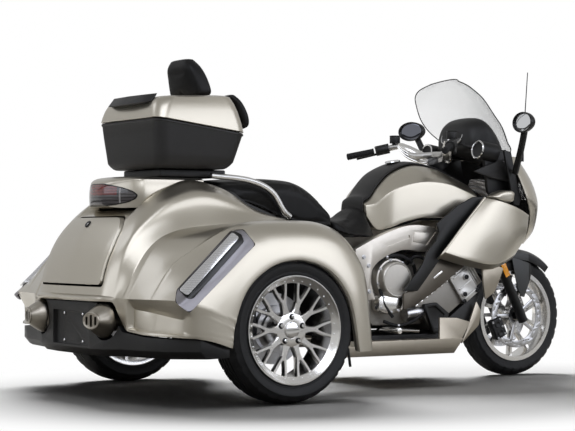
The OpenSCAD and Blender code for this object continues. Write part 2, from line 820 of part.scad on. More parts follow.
// Screen rows from low to high: [middle x, middle z, edge x, edge y, edge z]
screen_table = [[1756, 1106, 1600, 236, 1150], [1690, 1190, 1527, 284, 1221], [1618, 1280, 1470, 288, 1284],
    [1548, 1362, 1424, 270, 1360], [1482, 1430, 1384, 226, 1406], [1438, 1470, 1396, 110, 1452]];

module windscreen() {
    rows = [for (s = screen_table) [for (v = [-1:0.25:1])
        [s[0] + (s[2] - s[0]) * v * v, s[3] * v, s[1] + (s[4] - s[1]) * v * v]]];
    color(clear)
        place()
            shell(smooth_grid(rows, 1, 2), 4);
}

// Black hood over the instruments, with a speaker on each side: [x, half width, low z, high z]
module dash() {
    table = [[1440, 84, 1140, 1218], [1458, 128, 1122, 1248], [1505, 150, 1106, 1276],
        [1560, 160, 1096, 1272], [1640, 140, 1076, 1200], [1700, 104, 1060, 1112]];
    color(black)
        place()
            union() {
                loft([for (s = table) pad_ring([s[0], s[1], s[2], s[3], 70, s[1]])]);
                both() {
                    plate([[1470, 1112], [1640, 1112], [1690, 900], [1600, 880], [1500, 900]], 190, 212);
                    box([1500, 100, 1080], [1630, 195, 1120]);
                    rod([1440, 204, 1116], [1540, 204, 1100], 44);
                }
            }
}

// Grey panels from the tank up to the fairing
module inner_panels() {
    color(grey)
        place()
            both()
                plate([[1392, 1008], [1470, 1040], [1560, 1068], [1606, 1046], [1604, 962], [1500, 978]],
                    226, 238);
}

// Bright pods over the side fairings: [y, scale of the outline about its middle]
module side_pods() {
    outline = [[1438, 885], [1470, 906], [1518, 919], [1568, 918], [1586, 907], [1580, 866], [1560, 856],
        [1475, 858]];
    middle = [1524, 888];
    color(silver)
        place()
            both()
                loft([for (s = [[266, 1], [300, 1], [318, 0.86], [324, 0.6]])
                    [for (p = outline) [middle[0] + s[1] * (p[0] - middle[0]), s[0],
                        middle[1] + s[1] * (p[1] - middle[1])]]]);
}

// Mirrors on bent arms: [x, half width, half height] of the housing from the glass forward
module mirrors() {
    table = [[1514, 80, 47], [1518, 84, 50], [1540, 80, 46], [1558, 58, 32], [1566, 30, 16]];
    arm = smooth_line([[1546, 430, 1212], [1556, 404, 1160], [1566, 372, 1100], [1584, 326, 1040],
        [1600, 293.5, 1006]], 2);
    color(black)
        place()
            both()
                union() {
                    loft([for (s = table) [for (a = [0:18:342])
                        [s[0] - 0.16 * s[1] * cos(a), 443 + s[1] * cos(a), 1238 + s[2] * sin(a)]]]);
                    pipe(arm, 16, 10);
                }
}

module antenna() {
    color(black)
        place()
            rod([1646, -290, 1060], [1648, -330, 1490], 3);
}

module foot_controls() {
    color(alloy)
        place()
            both()
                union() {
                    rod([880, 186, 260], [880, 330, 260], 13);
                    rod([880, 300, 262], [1010, 300, 254], 7);
                }
}

// Differential, shafts and hub carriers
module rear_axle() {
    color(grey)
        place()
            union() {
                translate([0, 0, rear_tyre_r])
                    sphere(105);
                rod([0, -648, rear_tyre_r], [0, 648, rear_tyre_r], 20);
                both()
                    box([-45, 575, rear_tyre_r - 70], [45, 600, rear_tyre_r + 70]);
            }
}

// Tubes from the engine back to the axle, and the small rods under the front of the fenders
module rear_frame() {
    color(black)
        place()
            union() {
                both() {
                    pipe([[792, 150, 330], [300, 150, 380], [-520, 150, 380]], 24);
                    rod([60, 150, 380], [20, 570, 350], 16);
                    rod([-140, 150, 380], [-20, 570, 350], 16);
                    rod([402, 600, 210], [414, 600, 130], 6);
                }
                rod([280, -150, 380], [280, 150, 380], 18);
                rod([-480, -150, 380], [-480, 150, 380], 18);
            }
}

module rear_calipers() {
    color(grey)
        place()
            both()
                difference() {
                    box([-165, 602, 270], [-95, 650, 380]);
                    box([-157, 619, 260], [-90, 639, 390]);
                }
}

// Wheel turned so that its axis is across the vehicle, with its outer face on the given side
module wheel(x, y, z, side) {
    translate([x, y, z])
        rotate([side > 0 ? -90 : 90, 0, 0])
            children();
}

// Tyre section: rounded crown and sidewalls over the rim
module tyre(r, w, round) {
    bead = rim_r - 10;
    half = [[bead, w * 0.36], [rim_r + 3, w * 0.44], [(rim_r + r) / 2, w / 2], [r - round, w * 0.475],
        [r - round * 0.4, w * 0.41], [r - round * 0.1, w * 0.28]];
    rotate_extrude()
        polygon(concat(half, [[r, 0]], [for (i = [len(half) - 1:-1:0]) [half[i][0], -half[i][1]]],
            [[bead, 0]]));
}

// Forked spokes in plan: hub arm, then two arms to the barrel
module spokes(count, hub_r, fork_r, out_r, arm) {
    step = 360 / count;
    for (i = [0:count - 1])
        rotate(i * step) {
            polygon([[hub_r, -arm * 0.8], [fork_r, -arm * 0.6], [fork_r, arm * 0.6], [hub_r, arm * 0.8]]);
            for (s = [-1, 1])
                polygon([
                    [fork_r - arm, -arm * 0.4], [fork_r - arm, arm * 0.4],
                    [out_r * cos(step / 4), s * out_r * sin(step / 4) + arm * 0.35],
                    [out_r * cos(step / 4), s * out_r * sin(step / 4) - arm * 0.35],
                ]);
        }
}

// Rear rim: stepped barrel, dished mesh of forked spokes, cap and brake disc
module rear_rim() {
    w = 96;
    rotate_extrude()
        polygon([[207, -w], [rim_r, -w], [rim_r, -w + 8], [216, -w + 14], [216, w - 16], [rim_r, w - 8],
            [rim_r, w], [rim_r - 7, w], [210, w - 14], [196, w - 22], [196, w - 30], [207, w - 34],
            [207, 0]]);
    intersection() {
        translate([0, 0, 20])
            linear_extrude(80)
                spokes(rear_spokes, 40, 112, 204, 18);
        rotate_extrude()
            polygon([[0, 42], [70, 42], [205, w - 48], [205, w - 24], [70, 66], [0, 66]]);
    }
    difference() {
        translate([0, 0, -80])
            cylinder(h = 140, r = 76);
        translate([0, 0, -90])
            cylinder(h = 50, r = 26);
    }
    translate([0, 0, 59])
        cylinder(h = 16, r1 = 40, r2 = 32);
    translate([0, 0, -80])
        difference() {
            cylinder(h = 8, r = 150);
            translate([0, 0, -1])
                cylinder(h = 10, r = 60);
        }
}

module rear_wheel(side) {
    wheel(0, side * wheel_y, rear_tyre_r, side)
        children();
}

module rear_rim_right() {
    color(alloy)
        place()
            rear_wheel(-1)
                rear_rim();
}

module rear_rim_left() {
    color(alloy)
        place()
            rear_wheel(1)
                rear_rim();
}

module rear_tyre_right() {
    color(rubber)
        place()
            rear_wheel(-1)
                tyre(rear_tyre_r, rear_tyre_w, 30);
}

module rear_tyre_left() {
    color(rubber)
        place()
            rear_wheel(1)
                tyre(rear_tyre_r, rear_tyre_w, 30);
}

module front_rim() {
    w = 58;
    color(alloy)
        place()
            wheel(wheelbase, 0, front_tyre_r, -1) {
                rotate_extrude()
                    polygon([[206, -w], [rim_r, -w], [rim_r, -w + 6], [215, -w + 12], [215, w - 12],
                        [rim_r, w - 6], [rim_r, w], [206, w]]);
                translate([0, 0, -18])
                    linear_extrude(36)
                        spokes(front_spokes, 38, 90, 208, 26);
                difference() {
                    translate([0, 0, -60])
                        cylinder(h = 120, r = 42);
                    translate([0, 0, -61])
                        cylinder(h = 122, r = 26);
                }
            }
}

module front_discs() {
    color(alloy)
        place()
            wheel(wheelbase, 0, front_tyre_r, -1)
                for (s = [-1, 1])
                    translate([0, 0, s * 64 - 3])
                        linear_extrude(6)
                            difference() {
                                union() {
                                    difference() {
                                        circle(r = 160);
                                        circle(r = 126);
                                    }
                                    circle(r = 52);
                                    for (a = [36:72:324])
                                        rotate(a)
                                            translate([40, -9])
                                                square([90, 18]);
                                }
                                circle(r = 30);
                            }
}

module front_tyre() {
    color(rubber)
        place()
            wheel(wheelbase, 0, front_tyre_r, -1)
                tyre(front_tyre_r, front_tyre_w, 56);
}

// Fork: legs, bridge, stem and axle
module fork() {
    leg = [wheelbase, fork_half_w, front_tyre_r];
    color(black)
        place()
            union() {
                both() {
                    rod(leg - 30 * steer_dir, leg + 400 * steer_dir, 24);
                    rod(leg, [wheelbase, -1, front_tyre_r], 18);
                }
                translate([wheelbase, 0, front_tyre_r] + 390 * steer_dir)
                    rotate([0, head_angle - 90, 0])
                        translate([-65, -122, -20])
                            cube([110, 244, 40]);
                rod(steer_at(628), steer_at(1040), 22);
                rod(steer_at(1030), steer_at(1066), 46);
            }
}

module front_calipers() {
    color(grey)
        place()
            both()
                translate([wheelbase, 0, front_tyre_r])
                    rotate([0, -205, 0])
                        difference() {
                            box([105, 46, -50], [175, 84, 50]);
                            box([100, 55.5, -60], [166, 72.5, 60]);
                        }
}

// Front fender over the tyre
module front_fender() {
    side = [[1763, 590], [1814, 580], [1880, 560], [1892, 527], [1880, 477], [1842, 392], [1822, 396],
        [1800, 440]];
    color(grey)
        place()
            union() {
                wheel(wheelbase, 0, front_tyre_r, -1)
                    rotate([0, 0, 50])
                        rotate_extrude(angle = 88)
                            polygon([[280, 68], [312, 68], [328, 40], [334, 0], [328, -40], [312, -68],
                                [280, -68], [280, -72], [314, -72], [332, -42], [338, 0], [332, 42],
                                [314, 72], [280, 72]]);
                both()
                    plate(side, 68, 74);
            }
}

module reflectors() {
    color([0.95, 0.55, 0.1])
        place()
            both()
                translate([wheelbase, 123, front_tyre_r] + 270 * steer_dir)
                    rotate([0, head_angle - 90, 0])
                        translate([-14, 0, -45])
                            cube([28, 5, 90]);
}

// Handlebar path on the left: root, rise, bend and the grip's ends
bar_path = [[1334, 0, 1096], [1296, 120, 1096], [1275, 195, 1142], [1238, 262, 1134], [1204, 292, 1124]];
grip_end = [1089, grip_end_y, 1094];

module handlebar() {
    left = smooth_line(bar_path, 2);
    right = [for (i = [len(left) - 1:-1:1]) [left[i][0], -left[i][1], left[i][2]]];
    color(alloy)
        place()
            pipe(concat(right, left), 15);
}

// Broad castings from the fork's head up to the bar: [middle, half length, half height]
module bar_risers() {
    table = [[[1352, 44, 1070], 28, 16], [[1338, 96, 1082], 28, 27], [[1298, 150, 1112], 26, 30],
        [[1274, 194, 1146], 22, 15]];
    color(alloy)
        place()
            both()
                loft([for (s = table) [for (v = [[-1, -1], [1, -1], [1, 0.4], [0.6, 1], [-0.6, 1], [-1, 0.4]])
                    s[0] + [v[0] * s[1], 0, v[1] * s[2]]]]);
}

module grips() {
    color(rubber)
        place()
            both()
                rod(bar_path[4] + (grip_end - bar_path[4]) * 0.14, grip_end, 17);
}

module bar_controls() {
    color(black)
        place()
            both()
                union() {
                    translate([1262, 230, 1160])
                        cylinder(h = 34, r = 26);
                    rod([1262, 238, 1128], [1262, 238, 1162], 9);
                    rod([1240, 285, 1118], [1150, 400, 1086], 6);
                    rod([1256, 250, 1140], [1240, 285, 1118], 9);
                    rod(bar_path[3] + [6, -6, 2], bar_path[4] + [-8, 8, -2], 25);
                }
}

rear_body();
trunk_door();
trunk_tub();
wheel_liners();
rear_valance();
exhaust_tips();
lamp_plates();
lamp_lenses();
tail_cowl();
tail_lamp();
case_rack();
case_base();
case_lid();
lid_trim();
backrest_pad();
headrest_pad();
rider_seat();
passenger_seat();
grab_rails();
seat_strips();
tank_cover();
tank_strip();
frame_spars();
engine_block();
cylinder_head();
engine_covers();
fairing_trims();
fairing_left();
fairing_right();
lower_fairings();
running_boards();
belly_pan();
nose();
headlamps();
windscreen();
dash();
inner_panels();
side_pods();
mirrors();
antenna();
foot_controls();
rear_axle();
rear_frame();
rear_calipers();
rear_rim_right();
rear_rim_left();
rear_tyre_right();
rear_tyre_left();
front_rim();
front_discs();
front_tyre();
fork();
front_calipers();
front_fender();
reflectors();
handlebar();
bar_risers();
grips();
bar_controls();
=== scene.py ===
import math

import bpy
from mathutils import Matrix, Vector


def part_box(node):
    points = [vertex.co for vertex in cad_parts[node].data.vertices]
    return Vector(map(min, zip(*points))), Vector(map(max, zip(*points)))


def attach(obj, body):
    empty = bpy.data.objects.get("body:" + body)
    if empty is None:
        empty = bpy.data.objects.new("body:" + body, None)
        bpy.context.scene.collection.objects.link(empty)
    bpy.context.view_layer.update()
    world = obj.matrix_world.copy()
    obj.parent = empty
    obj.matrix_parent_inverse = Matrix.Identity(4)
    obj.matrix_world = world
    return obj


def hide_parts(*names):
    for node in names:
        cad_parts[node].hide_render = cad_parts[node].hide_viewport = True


bl_info = {
    "name": "Motorized Trike",
    "version": (1, 0, 0),
    "blender": (4, 5, 0),
    "location": "3D View > Sidebar > Trike",
    "description": "Dresses the trike's packed frame with its painted, cast, sewn and rubber pieces",
    "category": "Object",
}

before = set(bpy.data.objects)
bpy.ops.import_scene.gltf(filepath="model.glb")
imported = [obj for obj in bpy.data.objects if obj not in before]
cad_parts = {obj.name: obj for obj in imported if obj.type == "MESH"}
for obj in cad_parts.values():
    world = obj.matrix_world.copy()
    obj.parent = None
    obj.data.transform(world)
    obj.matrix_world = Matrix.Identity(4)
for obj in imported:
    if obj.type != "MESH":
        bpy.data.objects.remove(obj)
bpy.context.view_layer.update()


def box_middle(node):
    low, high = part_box(node)
    return (low + high) / 2


REAR_AXLE = box_middle("rear_tyre_right")
FRONT_AXLE = box_middle("front_tyre")
REAR_R = REAR_AXLE.z
FRONT_R = FRONT_AXLE.z
WHEEL_Y = abs(REAR_AXLE.y)
HEAD_ANGLE = math.radians(62.2)
RIM_R = 0.228
# Millimetres: wheelbase, and how far in front of the axle the steering axis meets the ground
WHEELBASE = 1800
STEER_TRAIL = 108.4
# Points nearer than this are welded, in metres
WELD = 0.00002


def at(point):
    """Millimetres from the rear axle, with z from the ground, to metres in the shared frame."""
    return Vector((point[0] / 1000 + REAR_AXLE.x, point[1] / 1000, point[2] / 1000))


# Lines and nets of points

def lengths(points):
    total = [0.0]
    for a, b in zip(points, points[1:]):
        total.append(total[-1] + (b - a).length)
    return total


def joint_slope(h, a, k, b):
    return 0.0 if a * b <= 0 else 3 * (h + k) / ((2 * k + h) / a + (k + 2 * h) / b)


def firm(points, places, parts, sharp=()):
    """A line through points that never overshoots them; at the sharp ones it turns without a bend."""
    n = len(points) - 1
    spans = [places[i + 1] - places[i] for i in range(n)]
    slopes = [(points[i + 1] - points[i]) / spans[i] for i in range(n)]
    come, leave = [slopes[0]], [slopes[0]]
    for i in range(1, n):
        bend = Vector([joint_slope(spans[i - 1], a, spans[i], b) for a, b in zip(slopes[i - 1], slopes[i])])
        come.append(slopes[i - 1] if i in sharp else bend)
        leave.append(slopes[i] if i in sharp else bend)
    come.append(slopes[-1])
    line = []
    for i in range(n):
        for q in range(parts[i]):
            s = q / parts[i]
            line.append((1 + 2 * s) * (1 - s) ** 2 * points[i] + s * (1 - s) ** 2 * spans[i] * leave[i]
                        + s * s * (3 - 2 * s) * points[i + 1] - s * s * (1 - s) * spans[i] * come[i + 1])
    return line + [points[-1]]


def smooth(points, parts):
    """A soft line through points, with the same number of parts in every span."""
    points = [Vector(p) for p in points]
    ends = [2 * points[0] - points[1]] + points + [2 * points[-1] - points[-2]]
    line = []
    for a, b, c, d in zip(ends, ends[1:], ends[2:], ends[3:]):
        for q in range(parts):
            t = q / parts
            line.append((2 * b + (c - a) * t + (2 * a - 5 * b + 4 * c - d) * t * t
                         + (3 * b - a - 3 * c + d) * t ** 3) / 2)
    return line + [points[-1]]


def smooth_loop(points, parts):
    """A soft closed line through points."""
    n = len(points)
    points = [Vector(p) for p in points]
    line = []
    for i in range(n):
        a, b, c, d = (points[(i + k) % n] for k in (-1, 0, 1, 2))
        for q in range(parts):
            t = q / parts
            line.append((2 * b + (c - a) * t + (2 * a - 5 * b + 4 * c - d) * t * t
                         + (3 * b - a - 3 * c + d) * t ** 3) / 2)
    return line


def rounded(corners, radius, parts=4):
    """An outline whose corners are rounded by arcs of about the radius."""
    corners = [Vector(c) for c in corners]
    n = len(corners)
    line = []
    for i in range(n):
        before, corner, after = corners[i - 1], corners[i], corners[(i + 1) % n]
        a, b = (before - corner), (after - corner)
        reach = min(radius, a.length * 0.45, b.length * 0.45)
        start, end = corner + a.normalized() * reach, corner + b.normalized() * reach
        for q in range(parts + 1):
            t = q / parts
            line.append((1 - t) ** 2 * start + 2 * t * (1 - t) * corner + t * t * end)
    return line


def more_rows(rows, parts):
    """Rows of points with softly curved rows between them."""
    return [list(row) for row in zip(*[smooth(column, parts) for column in zip(*rows)])]


def net(rows, along, across):
    """Rows of points made finer both ways."""
    return more_rows([smooth(row, along) for row in rows], across)


def section(x, side):
    """A ring across the middle plane, from the y and z points of its left half."""
    return [at((x, y, z)) for y, z in side] + [at((x, -y, z)) for y, z in reversed(side)]


# Hand tools: each acts on one object, with everything else deselected

def pick(obj):
    bpy.ops.object.select_all(action="DESELECT")
    obj.select_set(True)
    bpy.context.view_layer.objects.active = obj
    return obj


def edit(obj, *steps):
    """Runs mesh operators on all of an object in edit mode; a step is an operator with its settings."""
    pick(obj)
    bpy.ops.object.mode_set(mode="EDIT")
    for step, settings in steps:
        bpy.ops.mesh.select_all(action="SELECT")
        step(**settings)
    bpy.ops.object.mode_set(mode="OBJECT")
    return obj


def modify(obj, kind, **settings):
    """Adds a modifier and applies it."""
    modifier = obj.modifiers.new(kind.title(), kind)
    for key, value in settings.items():
        setattr(modifier, key, value)
    pick(obj)
    bpy.ops.object.modifier_apply(modifier=modifier.name)
    return obj


def round_edges(obj, width, segments=2, angle=50):
    """Rounds the edges that turn by more than the angle."""
    return modify(obj, "BEVEL", width=width, segments=segments, limit_method="ANGLE", angle_limit=math.radians(angle))


def thicken(obj, thickness, offset=-1.0, **settings):
    """Gives an open skin a wall, on its inner side unless the offset says otherwise."""
    return modify(obj, "SOLIDIFY", thickness=thickness, offset=offset, **settings)


def push_out(obj, distance):
    """Moves a skin along its own normals."""
    normals = [v.normal.copy() for v in obj.data.vertices]
    for vertex, normal in zip(obj.data.vertices, normals):
        vertex.co += normal * distance
    return obj


def closed(obj):
    return edit(obj, (bpy.ops.mesh.remove_doubles, {"threshold": WELD}),
                (bpy.ops.mesh.normals_make_consistent, {"inside": False}))


def sheet(rows):
    """A grid primitive laid over rows of points."""
    bpy.ops.object.select_all(action="DESELECT")
    bpy.ops.mesh.primitive_grid_add(x_subdivisions=len(rows[0]) - 1, y_subdivisions=len(rows) - 1)
    obj = bpy.context.object
    obj.data.vertices.foreach_set("co", [c for row in rows for point in row for c in point])
    obj.data.update()
    obj.matrix_world = Matrix.Identity(4)
    return obj


def loft(rings, capped=True):
    """A skin through closed rings, with its ends filled."""
    obj = sheet([list(ring) + [ring[0]] for ring in rings])
    edit(obj, (bpy.ops.mesh.remove_doubles, {"threshold": WELD}))
    if capped:
        edit(obj, (bpy.ops.mesh.fill_holes, {"sides": 0}))
    return edit(obj, (bpy.ops.mesh.normals_make_consistent, {"inside": False}))


def tube(points, radius, sides=10, radii=None, cyclic=False):
    """A round bar along points; radii scale it at each point."""
    curve = bpy.data.curves.new("tube", "CURVE")
    curve.dimensions = "3D"
    curve.bevel_depth = radius
    curve.bevel_resolution = max(sides // 2 - 2, 0)
    curve.use_fill_caps = not cyclic
    spline = curve.splines.new("POLY")
    spline.points.add(len(points) - 1)
    spline.use_cyclic_u = cyclic
    for i, (knot, point) in enumerate(zip(spline.points, points)):
        knot.co = (*point, 1)
        knot.radius = radii[i] if radii else 1
    return meshed(bpy.data.objects.new("tube", curve))


def meshed(obj):
    bpy.context.scene.collection.objects.link(obj)
    pick(obj)
    bpy.ops.object.convert(target="MESH")
    return closed(bpy.context.object)


def cut_plate(outlines, thickness, edge, place=Matrix.Identity(4)):
    """A flat plate from an outer outline and its holes, in metres, with rounded edges; its middle is at z = 0."""
    curve = bpy.data.curves.new("plate", "CURVE")
    curve.dimensions = "2D"
    curve.fill_mode = "BOTH"
    for outline in outlines:
        spline = curve.splines.new("POLY")
        spline.points.add(len(outline) - 1)
        spline.use_cyclic_u = True
        for knot, point in zip(spline.points, outline):
            knot.co = (point[0], point[1], 0, 1)
    curve.extrude = thickness / 2
    obj = meshed(bpy.data.objects.new("plate", curve))
    edit(obj, (bpy.ops.mesh.dissolve_limited, {"angle_limit": math.radians(0.5)}))
    if edge:
        round_edges(obj, edge)
    obj.data.transform(place)
    if place.determinant() < 0:
        obj.data.flip_normals()
    return obj


def lathe(profile, steps, place=Matrix.Identity(4)):
    """A closed profile of (radius, height) points, spun round the z axis."""
    bpy.ops.object.select_all(action="DESELECT")
    bpy.ops.mesh.primitive_circle_add(vertices=len(profile))
    obj = bpy.context.object
    for vertex, (radius, height) in zip(obj.data.vertices, profile):
        vertex.co = (radius, 0, height)
    edit(obj, (bpy.ops.mesh.spin, {"steps": steps, "angle": 2 * math.pi, "center": (0, 0, 0), "axis": (0, 0, 1)}))
    closed(obj)
    obj.data.transform(place)
    return obj


def block(low, high, edge, segments=3):
    """A cube primitive between two corners, with rounded edges."""
    bpy.ops.object.select_all(action="DESELECT")
    bpy.ops.mesh.primitive_cube_add(size=1)
    obj = bpy.context.object
    low, high = Vector(low), Vector(high)
    obj.data.transform(Matrix.Translation((low + high) / 2) @ Matrix.Diagonal((*(high - low), 1)))
    return modify(obj, "BEVEL", width=edge, segments=segments)


def copied(node, edge, segments=2, angle=40):
    """A copy of a CAD node with its loose triangles merged and its edges rounded."""
    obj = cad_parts[node].copy()
    obj.data = obj.data.copy()
    obj.parent = None
    for key in list(obj.keys()):
        del obj[key]
    obj.data.materials.clear()
    bpy.context.scene.collection.objects.link(obj)
    edit(obj, (bpy.ops.mesh.remove_doubles, {"threshold": 0.00005}),
         (bpy.ops.mesh.dissolve_limited, {"angle_limit": math.radians(0.6)}))
    return round_edges(obj, edge, segments, angle)


def joined(*objs):
    pick(objs[0])
    for obj in objs:
        obj.select_set(True)
    if len(objs) > 1:
        bpy.ops.object.join()
    return bpy.context.object


def mirrored(obj):
    """The same form on both sides of the middle plane."""
    return modify(obj, "MIRROR", use_axis=(False, True, False), use_mirror_merge=False)


def carve(obj, cutter, operation="DIFFERENCE"):
    """Cuts one object by another and removes the cutter."""
    modify(obj, "BOOLEAN", object=cutter, operation=operation, solver="EXACT")
    bpy.data.objects.remove(cutter)
    return obj


def copies(obj, places):
    """The object repeated at several places, joined into one."""
    made = []
    for place in places:
        twin = obj.copy()
        twin.data = obj.data.copy()
        twin.data.transform(place)
        bpy.context.scene.collection.objects.link(twin)
        made.append(twin)
    bpy.data.objects.remove(obj)
    return joined(*made)


def around(count, reach=0.0, height=0.0, turn=0.0):
    """Places set evenly round the z axis."""
    out = Matrix.Translation((reach, 0, height))
    return [Matrix.Rotation(2 * math.pi * k / count + turn, 4, "Z") @ out for k in range(count)]


def facing(point, direction, turn=0.0):
    """A place at a point whose z axis looks along a direction."""
    aim = Vector(direction).to_track_quat("Z", "Y").to_matrix().to_4x4()
    return Matrix.Translation(point) @ aim @ Matrix.Rotation(turn, 4, "Z")


def side_plate(points, y0, y1, edge=0.003, radius=8, holes=()):
    """A plate outlined in x and z, in millimetres, between two y values."""
    place = Matrix.Translation((0, (y0 + y1) / 2000, 0)) @ Matrix.Rotation(math.pi / 2, 4, "X")
    outlines = [[(at((x, 0, z)).x, z / 1000) for x, z in rounded(line, radius)] for line in (points, *holes)]
    return cut_plate(outlines, abs(y1 - y0) / 1000, edge, place)


def dress(obj, name, body, slot, *replaced, finish=None, angle=35):
    """Names, smooths and paints a finished piece and sets it on its body; its slot gives its finish unless named."""
    obj.name = name
    obj.data.name = name
    pick(obj)
    bpy.ops.object.shade_smooth_by_angle(angle=math.radians(angle))
    obj.data.materials.clear()
    obj.data.materials.append(surface(finish or slot))
    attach(obj, body)
    if replaced:
        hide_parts(*replaced)
    return obj


def dress_copy(node, name, body, slot, edge, segments=2, sharp=40, **looks):
    """Dresses a copy of a CAD node whose sharp edges are rounded."""
    return dress(copied(node, edge, segments, sharp), name, body, slot, node, **looks)


def paint_node(finish, *nodes):
    """Gives a finish to CAD nodes that show as they are."""
    for node in nodes:
        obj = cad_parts[node]
        obj.data.materials.clear()
        obj.data.materials.append(finish)


# Finishes

# Where the front fender's grey sides end in its black tip
TIP_X = at((1872, 0, 0)).x


class Field:
    """A value that changes over a surface; sums and products of fields add their Math nodes."""

    def __init__(self, finish, socket):
        self.finish = finish
        self.socket = socket

    def math(self, operation, *values):
        return self.finish.node("ShaderNodeMath", {"operation": operation}, *values)

    def __add__(self, other):
        return self.math("ADD", self, other)

    def __sub__(self, other):
        return self.math("SUBTRACT", self, other)

    def __rsub__(self, other):
        return self.math("SUBTRACT", other, self)

    def __mul__(self, other):
        return self.math("MULTIPLY", self, other)

    def __truediv__(self, other):
        return self.math("DIVIDE", self, other)

    def __gt__(self, other):
        return self.math("GREATER_THAN", self, other)

    def __lt__(self, other):
        return self.math("LESS_THAN", self, other)

    __radd__ = __add__
    __rmul__ = __mul__

    def apply(self, operation, *values):
        return self.math(operation, self, *values)


class Finish:
    """A material whose Principled shader is fed by constants and fields."""

    def __init__(self, name, **values):
        self.material = bpy.data.materials.new(name + "_finish")
        self.material.use_nodes = True
        self.tree = self.material.node_tree
        self.shader = self.tree.nodes["Principled BSDF"]
        self.set(**values)

    def feed(self, socket, value):
        if isinstance(value, Field):
            self.tree.links.new(value.socket, socket)
        elif socket.type == "RGBA" and len(value) == 3:
            socket.default_value = (*value, 1)
        else:
            socket.default_value = value

    def node(self, kind, settings=None, *values, output=0, **named):
        node = self.tree.nodes.new(kind)
        for key, value in (settings or {}).items():
            setattr(node, key, value)
        for index, value in enumerate(values):
            if value is not None:
                self.feed(node.inputs[index], value)
        for key, value in named.items():
            self.feed(node.inputs[key.replace("_", " ").title()], value)
        return Field(self, node.outputs[output])

    def set(self, **values):
        for key, value in values.items():
            self.feed(self.shader.inputs[key.replace("_", " ").title().replace("Ior", "IOR")], value)

    def coords(self):
        return self.node("ShaderNodeTexCoord", output="Object")

    def axes(self):
        place = self.coords()
        return [self.node("ShaderNodeSeparateXYZ", None, place, output=axis) for axis in "XYZ"]

    def noise(self, scale, detail=2.0, **named):
        return self.node("ShaderNodeTexNoise", None, self.coords(), scale=scale, detail=detail, **named)

    def cells(self, scale, feature="F1"):
        return self.node("ShaderNodeTexVoronoi", {"feature": feature}, self.coords(), scale=scale)

    def mix(self, factor, a, b):
        return self.node("ShaderNodeMix", {"data_type": "RGBA"}, factor, *[None] * 5, a, b, output=2)

    def bump(self, height, strength, distance=0.001):
        self.set(normal=self.node("ShaderNodeBump", None, strength=strength, distance=distance, height=height))

    def speckle(self, colour, change, scale):
        """A base colour that wavers a little between a darker and a lighter tone."""
        self.set(base_color=self.mix(self.noise(scale, 3.0), [c * (1 - change) for c in colour],
                                     [min(c * (1 + change), 1) for c in colour]))


def make_paint(looks):
    paint = Finish("silver_paint", metallic=0.92, coat_weight=0.5, coat_roughness=0.06)
    flakes = paint.cells(1500)
    paint.set(base_color=paint.mix(flakes, [c * 0.93 for c in looks.paint], [min(c * 1.05, 1) for c in looks.paint]),
              roughness=paint.noise(6, 2.0) * 0.05 + 0.30)
    paint.bump(paint.noise(260, 1.0), 0.015)


def make_metals(looks):
    cast = Finish("alloy", metallic=1.0)
    cast.speckle(looks.alloy, 0.05, 40)
    cast.set(roughness=cast.noise(60, 3.0) * 0.16 + 0.3)
    cast.bump(cast.noise(900, 2.0), 0.06)
    polished = Finish("wheel_alloy", metallic=1.0)
    polished.speckle([min(c * 1.3, 0.95) for c in looks.alloy], 0.03, 18)
    polished.set(roughness=polished.noise(30, 2.0) * 0.1 + 0.17)
    polished.bump(polished.noise(120, 2.0), 0.02)
    chrome = Finish("chrome", metallic=1.0, base_color=(0.86, 0.86, 0.86))
    chrome.set(roughness=chrome.noise(20, 1.0) * 0.05 + 0.04)
    steel = Finish("steel", metallic=1.0)
    steel.speckle((0.56, 0.56, 0.57), 0.08, 70)
    rings = steel.noise(400, 2.0)
    steel.set(roughness=rings * 0.15 + 0.22)
    steel.bump(rings, 0.05)
    dark = Finish("dark_steel", metallic=0.25)
    dark.speckle((0.022, 0.022, 0.024), 0.2, 50)
    dark.set(roughness=dark.noise(80, 2.0) * 0.16 + 0.36)
    bronze = Finish("exhaust", metallic=1.0)
    bronze.speckle(looks.exhaust, 0.18, 25)
    bronze.set(roughness=bronze.noise(90, 2.0) * 0.15 + 0.25)
    plate = Finish("lamp_plate", metallic=0.5, coat_weight=0.3)
    plate.speckle((0.36, 0.345, 0.37), 0.05, 30)
    plate.set(roughness=plate.noise(200, 2.0) * 0.1 + 0.34)
    # The darkest of these casts is the champagne darkened into a painted shade, for the lower strips that sit in
    # shadow.
    for name, colour, rough in (("spar_cast", (0.66, 0.62, 0.56), 0.34), ("case_cast", (0.30, 0.285, 0.26), 0.4),
                                ("cover_cast", (0.58, 0.555, 0.51), 0.36), ("champagne", (0.44, 0.395, 0.325), 0.26),
                                ("brown_panel", (0.13, 0.115, 0.095), 0.36)):
        rough_cast = Finish(name, metallic=0.9)
        rough_cast.speckle(colour, 0.06, 40)
        rough_cast.set(roughness=rough_cast.noise(70, 3.0) * 0.14 + rough)
        rough_cast.bump(rough_cast.noise(800, 2.0), 0.08)


